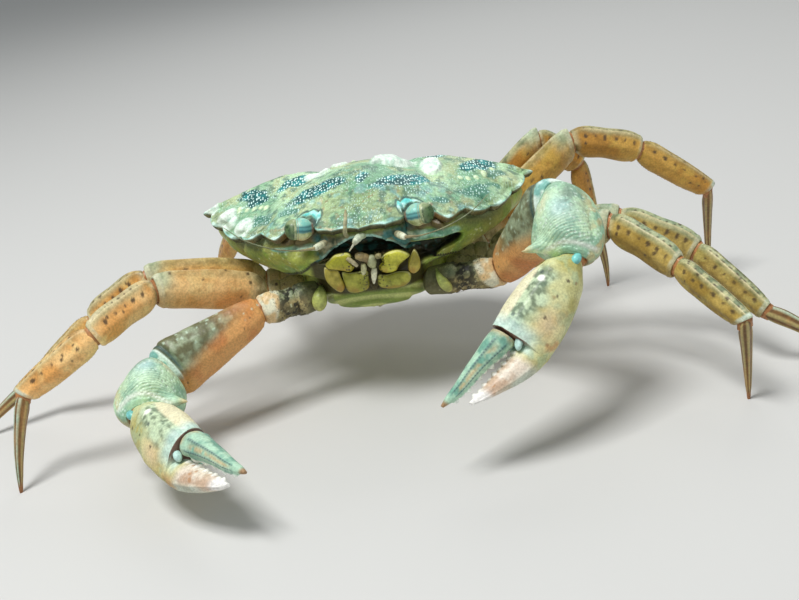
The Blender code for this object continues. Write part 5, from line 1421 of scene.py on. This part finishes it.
def make_abdomen():
    """The folded tail, with a furrow between its rings."""
    path = np.array(TAIL_PATH)
    index = np.linspace(0, len(path) - 1, 190)
    values = catmull(np.column_stack((np.arange(len(path)), path, TAIL_WIDTHS)), index)
    middle, wide = values[:, :2], values[:, 2]
    along = unit(np.gradient(middle, axis=0))
    outward = np.stack((-along[:, 1], along[:, 0]), -1)
    angle = full_turn(72)
    across = (np.sign(np.cos(angle)) * np.abs(np.cos(angle)) ** 0.6 * 0.5)[None, :]
    lift = np.sign(np.sin(angle)) * np.abs(np.sin(angle)) ** 0.8 * np.where(np.sin(angle) > 0, 0.66, 0.5)
    outer = np.maximum(np.sin(angle), 0)[None, :]
    beat = np.abs(index[:, None] % 1 - 0.5) * 2
    furrow = soft(beat, 0.84, 1.0) * outer
    keel = bump(across, 0.10) * outer
    scale = TAIL_THICKNESS * (lift[None, :] * (1 - 0.35 * furrow) + 0.12 * keel
                              - 0.10 * bump(np.abs(across) - 0.30, 0.05) * outer)
    x = across * wide[:, None] * (1 - 0.04 * furrow)
    grid = np.stack((x, middle[:, :1] + outward[:, :1] * scale, middle[:, 1:] + outward[:, 1:] * scale), -1)
    mm = grid * MM
    col = lerp((0.44, 0.42, 0.17), (0.70, 0.62, 0.34), cloud(mm, 3.0, 3, 51, 0.35, 0.65))
    col = lerp(col, (0.30, 0.36, 0.17), 0.7 * cloud(mm, 1.4, 3, 52, 0.50, 0.64))
    col = lerp(col, (0.62, 0.32, 0.12), 0.5 * soft(np.abs(across), 0.36, 0.48) * np.ones(x.shape))
    col = lerp(col, (0.12, 0.10, 0.05), 0.8 * furrow)
    placed = place(grid)
    if np.dot(normals(placed)[90, 18], place_way((0, *outward[90]))) < 0:
        placed, col = placed[::-1], col[::-1]
    caps = tuple((placed[at].mean(0), col[at].mean(0)) for at in (0, -1))
    piece("abdomen_shell", placed, col, LIMB, ("abdomen",), caps)


EYE_ROOT = (0.131, -0.315, -0.014)
EYE_TIP = (0.210, -0.331, -0.005)
EYE_FRONT = np.array((0.0, -1.0, 0.12))
EYE_RADIUS = 0.032
# Shares along the eye and diameters of its bulb and its cornea
BULB_FORM = ((0.0, 0.030), (0.06, 0.036), (0.16, 0.050), (0.30, 0.0615), (0.42, 0.064), (0.52, 0.061), (0.60, 0.054),
             (0.64, 0.040))
CORNEA_FORM = ((0.52, 0.040), (0.55, 0.052), (0.60, 0.0575), (0.68, 0.0590), (0.77, 0.0560), (0.87, 0.046),
               (0.94, 0.032), (0.985, 0.015))
ANTENNA_ROUTE = ((0.100, -0.335, -0.054), (0.125, -0.385, -0.056), (0.175, -0.405, -0.052),
                 (0.240, -0.412, -0.036), (0.310, -0.405, -0.006), (0.365, -0.388, 0.034))


def turned_form(root, tip, form, rows, cols):
    """Surface turned about the line from root to tip, with its shares along and how far it lies from that line."""
    side, upper = ring_frame(unit(tip - root), EYE_FRONT)
    first, last = form[0][0], form[-1][0]
    t = first + (last - first) * np.sin(np.linspace(0, math.pi / 2, rows))
    radius = catmull(form, t) / 2
    tt, aa = np.meshgrid(t, full_turn(cols), indexing="ij")
    line = root + (tip - root) * tt[..., None]
    grid = line + (side * np.cos(aa)[..., None] + upper * np.sin(aa)[..., None]) * radius[:, None]
    return grid, tt, grid - line


def make_eye(side):
    """Short stalk with a swollen bulb, turquoise with dark lines above and cream below, and a grey-green cornea."""
    root, tip = place(on_side(EYE_ROOT, side)), place(on_side(EYE_TIP, side))
    grid, tt, away = turned_form(root, tip, BULB_FORM, 60, 72)
    mm = grid * MM
    world_up = away[..., 2] / EYE_RADIUS
    col = lerp((0.42, 0.48, 0.20), (0.64, 0.70, 0.38), cloud(mm, 0.8, 3, 5, 0.35, 0.65))
    col = lerp(col, (0.66, 0.36, 0.14), 0.6 * soft(-world_up, 0.35, 0.9) * cloud(mm, 1.0, 2, 6, 0.35, 0.6))
    wave = 0.22 * waver(mm, 1.2, 2, 8)
    blue = lerp((0.10, 0.36, 0.38), (0.22, 0.58, 0.50), soft(world_up + 2 * wave, 0.10, 0.65))
    lines = np.maximum(bump(world_up + wave - 0.38, 0.085), bump(world_up + wave - 0.02, 0.10))
    blue = lerp(blue, (0.01, 0.10, 0.13), 0.85 * lines)
    blue = lerp(blue, (0.44, 0.62, 0.44), 0.5 * cloud(mm, 0.9, 2, 7, 0.52, 0.62) * soft(world_up, 0.45, 0.60))
    col = lerp(col, blue, 0.95 * soft(world_up + wave, -0.22, -0.04))
    col = lerp(col, (0.20, 0.11, 0.06), 0.9 * fade(tt, 0.03, 0.12))
    col = lerp(col, (0.30, 0.26, 0.15), 0.6 * bump(tt - 0.54, 0.02))
    piece("eye_%s_bulb" % side, grid, col, WET, ("eye_" + side,), end_caps(grid, col))
    grid, tt, away = turned_form(root, tip, CORNEA_FORM, 70, 84)
    mm = grid * MM
    world_up = away[..., 2] / EYE_RADIUS
    facing = away @ unit(EYE_FRONT) / EYE_RADIUS
    cornea = lerp((0.022, 0.060, 0.020), (0.095, 0.17, 0.065), cloud(mm, 0.5, 3, 15, 0.35, 0.62))
    cornea = lerp(cornea, (0.32, 0.40, 0.20), 0.8 * soft(world_up + 0.3 * waver(mm, 0.9, 2, 19), 0.50, 0.72))
    ring = lerp((0.26, 0.33, 0.17), (0.54, 0.60, 0.36), cloud(mm, 0.7, 3, 16, 0.35, 0.6))
    edge_at = 0.63 + 0.06 * rough(mm, 1.5, 2, 17)
    col = lerp(ring, cornea, soft(tt, edge_at, edge_at + 0.035))
    dots, kind = cells(mm, 0.26, 18)
    col = lerp(col, (0.60, 0.56, 0.34), 0.75 * fade(dots, 0.2, 0.34) * (kind > 0.45) * bump(tt - 0.66, 0.05))
    col = lerp(col, (0.24, 0.30, 0.18), 0.4 * bump(facing - 0.75, 0.25) * bump(tt - 0.75, 0.07))
    caps = ((grid[0].mean(0), col[0, 0]), (tip - unit(tip - root) * 0.0005, col[-1, 0]))
    piece("eye_%s_cornea" % side, grid, col, GLASS, ("eye_" + side,), caps)


def tube(route, widths, reference, rows, cols, rings, ring_depth):
    """Surface of a bent rod through points, with its shares along. Furrows part it in rings."""
    route = np.asarray(route, float)
    last = len(route) - 1
    index = np.linspace(0, last, rows)
    values = catmull(np.column_stack((np.arange(last + 1), route, widths)), index)
    centre, wide = values[:, :3], values[:, 3]
    if rings:
        beat = np.abs((index / last * rings) % 1 - 0.5) * 2
        wide = wide * (1 - ring_depth * soft(beat, 0.7, 1.0))
    along = unit(np.gradient(centre, axis=0))
    upper = unit(np.asarray(reference) - (along @ np.asarray(reference))[:, None] * along)
    side = np.cross(along, upper)
    angle = full_turn(cols)[None, :, None]
    ring = side[:, None, :] * np.cos(angle) + upper[:, None, :] * np.sin(angle)
    grid = centre[:, None, :] + ring * wide[:, None, None] / 2
    return grid, np.broadcast_to((index / last)[:, None], grid.shape[:2])


def rod(name, route, widths, colours, material, nodes, slot, rows, cols, rings=0, ring_depth=0.0,
        reference=(0.0, 0.1, 1.0), seed=0):
    """A bent rod as a piece. Colours go along it, from its root."""
    grid, share = tube(route, widths, reference, rows, cols, rings, ring_depth)
    stops = np.linspace(0, 1, len(colours))
    col = np.stack([np.interp(share, stops, channel) for channel in zip(*colours)], -1)
    col = lerp(col * 0.72, np.minimum(col * 1.12, 1), cloud(grid * MM, 0.8, 3, seed, 0.3, 0.65))
    piece(name, grid, col, material, nodes, end_caps(grid, col))


# The right short feeler stands up before the front, the left one is folded and ends in a spike
ANTENNULES = (
    ("antennule_right", ((-0.036, -0.350, -0.042), (-0.037, -0.376, -0.026), (-0.033, -0.386, -0.004),
                         (-0.028, -0.387, 0.020), (-0.025, -0.385, 0.040)), (0.012, 0.0125, 0.0110, 0.0095, 0.0050),
     ((0.30, 0.26, 0.14), (0.46, 0.44, 0.24), (0.58, 0.56, 0.34), (0.34, 0.30, 0.16)),
     LIMB, (), "antenna", 60, 22, 4, 0.12),
    ("antennule_left", ((0.012, -0.345, -0.046), (0.001, -0.362, -0.044), (-0.009, -0.369, -0.050),
                        (-0.019, -0.371, -0.061)),
     (0.014, 0.020, 0.021, 0.012), ((0.30, 0.38, 0.24), (0.56, 0.66, 0.44), (0.76, 0.84, 0.64), (0.60, 0.58, 0.40)),
     LIMB, (), "antenna", 50, 22, 3, 0.15),
    ("antennule_left_whip", ((-0.018, -0.371, -0.060), (-0.026, -0.371, -0.070), (-0.034, -0.369, -0.080)),
     (0.007, 0.005, 0.002), ((0.80, 0.80, 0.62), (0.66, 0.62, 0.42)), LIMB, (), "antenna", 30, 12),
)


def make_antennae():
    """Long feelers with their stout feet beside the eyes, and the short feelers under the front."""
    for side in SIDES:
        route = place([on_side(point, side) for point in ANTENNA_ROUTE])
        nodes = ("antenna_" + side,)
        rod("antenna_%s_foot" % side, [route[0], route[0] * 0.5 + route[1] * 0.5, route[1]], (0.0195, 0.0205, 0.0165),
            ((0.20, 0.16, 0.08), (0.52, 0.52, 0.34), (0.74, 0.78, 0.58)), LIMB, nodes, "antenna",
            44, 24, 2, 0.25, seed=4)
        rod("antenna_%s_whip" % side, route[1:], (0.0100, 0.0048, 0.0037, 0.0031, 0.0020),
            ((0.34, 0.28, 0.14), (0.20, 0.19, 0.09), (0.20, 0.23, 0.12), (0.26, 0.30, 0.18)), LIMB, nodes, "antenna",
            130, 12, 46, 0.28, seed=5)
    for name, route, *rest in ANTENNULES:
        rod(name, place(route), *rest)


# Outlines of the outer mouth plates, sideways and upwards on the mouth field
MOUTH_OUTLINES = {
    ("right", "merus"): ((-0.062, -0.089), (-0.043, -0.090), (-0.034, -0.102), (-0.042, -0.114), (-0.031, -0.131),
                         (-0.045, -0.147), (-0.064, -0.142), (-0.080, -0.137), (-0.104, -0.130), (-0.109, -0.117),
                         (-0.096, -0.103), (-0.080, -0.092)),
    ("left", "merus"): ((0.048, -0.117), (0.061, -0.106), (0.079, -0.100), (0.098, -0.100), (0.116, -0.108),
                        (0.127, -0.120), (0.110, -0.133), (0.093, -0.146), (0.083, -0.160), (0.060, -0.165),
                        (0.041, -0.157), (0.038, -0.142), (0.049, -0.130)),
    ("right", "ischium"): ((-0.068, -0.152), (-0.048, -0.155), (-0.026, -0.155), (0.000, -0.156), (0.001, -0.180),
                           (-0.006, -0.205), (-0.036, -0.213), (-0.060, -0.208), (-0.067, -0.184)),
    ("left", "ischium"): ((0.034, -0.172), (0.056, -0.174), (0.085, -0.169), (0.113, -0.172), (0.120, -0.185),
                          (0.111, -0.203), (0.090, -0.213), (0.055, -0.214), (0.031, -0.205), (0.028, -0.186)),
    ("right", "exopod"): ((-0.114, -0.129), (-0.100, -0.136), (-0.082, -0.141), (-0.077, -0.162), (-0.072, -0.192),
                          (-0.086, -0.208), (-0.106, -0.188), (-0.117, -0.162)),
    ("left", "exopod"): ((0.142, -0.107), (0.129, -0.124), (0.121, -0.142), (0.119, -0.166), (0.132, -0.177),
                         (0.149, -0.162), (0.151, -0.131)),
}


def mouth_plate(side, part, growth, proud, colours, seed):
    """A low plate with rounded edges on the mouth field, black-dotted along its inner edge."""
    outline = np.array(MOUTH_OUTLINES[(side, part)])
    middle = outline.mean(0)
    outline = middle + (outline - middle) * growth
    closed = np.vstack((outline[-2:], outline, outline[:3]))
    cols, rings = 132, 44
    at = np.linspace(0, len(outline), cols, endpoint=False)
    ring = catmull(np.column_stack((np.arange(len(closed)) - 2, closed)), at)
    depth = np.linspace(0, 1, rings)
    inward = np.clip((depth - 0.22) / 0.78, 0, 1) ** 1.5
    reach = np.where(depth < 0.22, 0.965 + 0.035 * depth / 0.22, 1 - 0.97 * inward)
    rise = np.where(depth < 0.22, 0.5 * depth / 0.22, 0.5 + 0.42 * (1 - (1 - inward) ** 7) + 0.08 * inward)
    flat = middle + (ring - middle)[None] * reach[:, None, None]
    x, z = flat[..., 0], flat[..., 1]
    mm = np.stack((x, np.zeros(x.shape), z), -1) * MM
    low, high = ring.min(0), ring.max(0)
    outward = (x - low[0]) / (high[0] - low[0])
    if side == "right":
        outward = 1 - outward
    upward = (z - low[1]) / (high[1] - low[1])
    rise = rise[:, None] - 0.16 * bump(outward - 0.30, 0.07) * soft(depth, 0.3, 0.5)[:, None] * (part == "ischium")
    y = mouth_plane(z) - GAP - proud * rise + 0.0035 * waver(mm, 2.4, 3, seed) * rise
    grid = np.stack((x, y, z), -1)
    col = lerp(colours[0], colours[1], cloud(mm, 1.8, 3, seed + 1, 0.35, 0.65))
    col = lerp(col, colours[2], 0.8 * soft(0.6 - upward, 0.1, 0.5) * cloud(mm, 1.6, 2, seed + 2, 0.3, 0.55))
    spots, kind = cells(mm, 0.62, seed + 3)
    dotted = fade(spots, 0.30, 0.42) * (kind > 0.10) * soft(0.44 - outward, 0.0, 0.14) * (part != "exopod")
    veins = fade(np.abs(waver(mm, 1.1, 2, seed + 6)), 0.012, 0.035)
    dotted = np.maximum(dotted, veins * soft(0.34 - outward, 0.0, 0.16) * (part != "exopod"))
    col = lerp(col, (0.030, 0.026, 0.010), 0.95 * dotted)
    fleck, kind = cells(mm, 0.7, seed + 4)
    col = lerp(col, (0.24, 0.21, 0.04), 0.6 * fade(fleck, 0.12, 0.24) * (kind > 0.45))
    # Painted shade on the plate's sloping sides, darkest at its foot
    wall = soft(depth, 0.16, 0.36)[:, None] * np.ones(x.shape)
    col = lerp((0.028, 0.022, 0.008), col, wall)
    # Painted highlight along the plate's upper rounded edge
    col = lerp(col, (0.80, 0.80, 0.46), 0.5 * bump(depth - 0.36, 0.05)[:, None] * soft(upward, 0.45, 0.9))
    placed = place(grid)
    if np.dot(normals(placed)[30, 20], placed[30, 20] - placed[0].mean(0)) < 0:
        placed, col = placed[:, ::-1], col[:, ::-1]
    caps = tuple((placed[at].mean(0), col[at].mean(0)) for at in (0, -1))
    piece("maxilliped_%s_%s" % (side, part), placed, col, SMOOTH, ("maxilliped_" + side,), caps)


# Yellow-green plates before the bases of the claws, as places and widths
BASAL_PLATES = {
    "left": (((0.190, -0.214, -0.196), (0.196, -0.232, -0.214), (0.207, -0.240, -0.234), (0.219, -0.238, -0.251),
              (0.225, -0.228, -0.259)), (0.004, 0.018, 0.030, 0.026, 0.008)),
    "right": (((-0.150, -0.210, -0.206), (-0.152, -0.230, -0.220), (-0.156, -0.242, -0.238), (-0.160, -0.236, -0.257),
               (-0.162, -0.222, -0.268)), (0.010, 0.032, 0.044, 0.038, 0.012)),
}
BASAL_TONES = ((0.22, 0.30, 0.10), (0.46, 0.54, 0.15), (0.52, 0.54, 0.15), (0.36, 0.30, 0.09))
# Deep, light and lower tone of the mouth plates
YELLOW = ((0.40, 0.39, 0.022), (0.60, 0.58, 0.06), (0.46, 0.33, 0.04))
OLIVE = ((0.27, 0.28, 0.024), (0.45, 0.45, 0.060), (0.36, 0.24, 0.03))
OCHRE = ((0.32, 0.27, 0.03), (0.50, 0.42, 0.07), (0.40, 0.22, 0.03))
# Plates with their growth sideways and upwards, how far they stand out, colours and seed
MOUTH_PLATES = (("ischium", (1.05, 1.16), 0.026, OLIVE, 71), ("merus", (1.03, 1.05), 0.034, YELLOW, 72),
                ("exopod", (1.12, 1.08), 0.024, OCHRE, 73))
# Parts of the palps: their places on the mouth field, widths and end colours
PALPS = {
    "right": (("root", ((-0.046, -0.101), (-0.034, -0.114), (-0.021, -0.130)), (0.011, 0.0135, 0.010),
               ((0.40, 0.34, 0.18), (0.66, 0.60, 0.38))),
              ("middle", ((-0.022, -0.099), (-0.008, -0.101), (0.006, -0.108), (0.010, -0.119)),
               (0.014, 0.025, 0.025, 0.014), ((0.34, 0.27, 0.12), (0.26, 0.18, 0.07))),
              ("tip", ((-0.004, -0.124), (-0.004, -0.138), (-0.007, -0.151), (-0.010, -0.158)),
               (0.012, 0.0165, 0.014, 0.006), ((0.56, 0.56, 0.28), (0.76, 0.74, 0.44)))),
    "left": (("root", ((0.050, -0.108), (0.042, -0.107), (0.034, -0.110)), (0.012, 0.016, 0.013),
              ((0.20, 0.17, 0.07), (0.34, 0.30, 0.14))),
             ("middle", ((0.028, -0.105), (0.021, -0.114), (0.021, -0.128), (0.025, -0.138)),
              (0.014, 0.026, 0.026, 0.015), ((0.46, 0.48, 0.28), (0.40, 0.42, 0.20))),
             ("tip", ((0.025, -0.142), (0.022, -0.155), (0.019, -0.172), (0.016, -0.190)),
              (0.013, 0.0175, 0.0145, 0.006), ((0.66, 0.66, 0.44), (0.82, 0.80, 0.60)))),
}


def make_mouth():
    """The outer mouth-legs: merus, ischium and exopod plates, the bent palps and the hairs along them."""
    rng = np.random.default_rng(12)
    for side in SIDES:
        name = "maxilliped_%s_" % side
        for row in MOUTH_PLATES:
            mouth_plate(side, *row)
        for number, (part, line, widths, tones) in enumerate(PALPS[side]):
            route = [(px, mouth_plane(pz) - GAP - 0.030 - 0.002 * number, pz) for px, pz in line]
            rod(name + "palp_" + part, place(route), widths, tones, SMOOTH, ("maxilliped_" + side,), "mouth",
                56, 28, 2, 0.10, (0.0, -1.0, 0.1), 8 + number)
        roots, tips = [], []
        for _ in range(110):
            pz = rng.uniform(-0.210, -0.112)
            px = 0.012 + on_side((rng.uniform(0.002, 0.016), 0, 0), side)[0]
            base = np.array((px, mouth_plane(pz) - GAP - 0.006, pz))
            roots.append(base)
            way = (-rng.uniform(0.0, 0.010), -rng.uniform(0.006, 0.016), -rng.uniform(0.004, 0.014))
            tips.append(base + on_side(way, side))
        for _ in range(90):
            px = rng.uniform(0.030, 0.120)
            base = on_side((px, mouth_plane(-0.104) - GAP * rng.uniform(0, 3), -0.104 - 0.05 * abs(px - 0.07)), side)
            roots.append(base)
            way = (rng.uniform(-0.006, 0.006), -rng.uniform(0.008, 0.018), rng.uniform(-0.002, 0.010))
            tips.append(base + on_side(way, side))
        strands(name + "hairs", place(roots), place(tips), 0.0009, (0.20, 0.16, 0.07), "mouth")
        route, widths = BASAL_PLATES[side]
        rod("claw_%s_basal_plate" % side, place(route), widths, BASAL_TONES, SMOOTH, (), "claw_hip", 60, 40, seed=19)


# The photo's view: size and the crab's middle in pixels, angles in degrees and distance in body units
PICTURE = (799, 600)
MIDDLE_AT = (366.8, 197.5)
AZIMUTH, HEIGHT, ROLL = 4.8, 21.3, -8.7
VIEW_ANGLE = 38.0
DISTANCE = 3.53
FLOOR_REACH = 3
SKY_COLOUR, SKY_STRENGTH = (0.92, 0.97, 1.0, 1), 0.30
# What the studio lights aim at, in metres, and the place, size and power of each
LIGHT_AIM = (0, 0, 0.03)
LIGHTS = {"key": ((-0.16, -0.16, 0.60), 0.22, 3.6), "fill": ((0.45, -0.40, 0.25), 0.4, 0.45),
          "rear": ((0.1, 0.5, 0.45), 0.4, 0.8)}


def make_camera():
    """The photo's camera."""
    azimuth, height, roll = map(math.radians, (AZIMUTH, HEIGHT, ROLL))
    back = np.array((math.sin(azimuth) * math.cos(height), -math.cos(azimuth) * math.cos(height), math.sin(height)))
    right = unit(np.cross(-back, UP))
    up = np.cross(right, -back)
    across = math.cos(roll) * right + math.sin(roll) * up
    upward = -math.sin(roll) * right + math.cos(roll) * up
    view = math.radians(VIEW_ANGLE)
    focal = PICTURE[0] / 2 / math.tan(view / 2)
    aim = np.array((CENTRE[0], CENTRE[1], BODY_HEIGHT))
    eye = (aim + back * DISTANCE - across * (MIDDLE_AT[0] - PICTURE[0] / 2) / focal * DISTANCE
           - upward * (PICTURE[1] / 2 - MIDDLE_AT[1]) / focal * DISTANCE)
    data = bpy.data.cameras.new("camera")
    data.sensor_fit = "HORIZONTAL"
    data.angle = view
    data.clip_start = 0.005
    camera = linked("camera", data)
    turn = Matrix((across, upward, back)).transposed().to_4x4()
    camera.matrix_world = Matrix.Translation(Vector(eye * UNIT)) @ turn
    bpy.context.scene.camera = camera


def make_stage():
    """A plain pale floor and soft studio light."""
    floor_mesh = bpy.data.meshes.new("floor")
    corners = [(x * FLOOR_REACH, y * FLOOR_REACH, 0) for x, y in ((-1, -1), (1, -1), (1, 1), (-1, 1))]
    floor_mesh.from_pydata(corners, [], [(0, 1, 2, 3)])
    floor = linked("floor", floor_mesh)
    pale = bpy.data.materials.new("floor_pale")
    pale.use_nodes = True
    shader = pale.node_tree.nodes["Principled BSDF"]
    shader.inputs["Base Color"].default_value = (0.62, 0.62, 0.60, 1)
    shader.inputs["Roughness"].default_value = 0.8
    floor_mesh.materials.append(pale)
    scene = bpy.context.scene
    scene.view_settings.view_transform = "Standard"
    scene.world = bpy.data.worlds.new("studio")
    scene.world.use_nodes = True
    sky = scene.world.node_tree.nodes["Background"]
    sky.inputs["Color"].default_value = SKY_COLOUR
    sky.inputs["Strength"].default_value = SKY_STRENGTH
    for name, (spot, size, power) in LIGHTS.items():
        lamp = bpy.data.lights.new(name, "AREA")
        lamp.energy = power
        lamp.size = size
        light = linked(name, lamp)
        light.location = spot
        light.rotation_euler = (Vector(LIGHT_AIM) - Vector(spot)).to_track_quat("-Z", "Y").to_euler()


make_carapace()
for number in WALKING_SIZES:
    for side in SIDES:
        make_leg(side, number)
for side in SIDES:
    make_claw(side)
make_thorax()
make_abdomen()
for side in SIDES:
    make_eye(side)
make_antennae()
make_mouth()
make_camera()
make_stage()
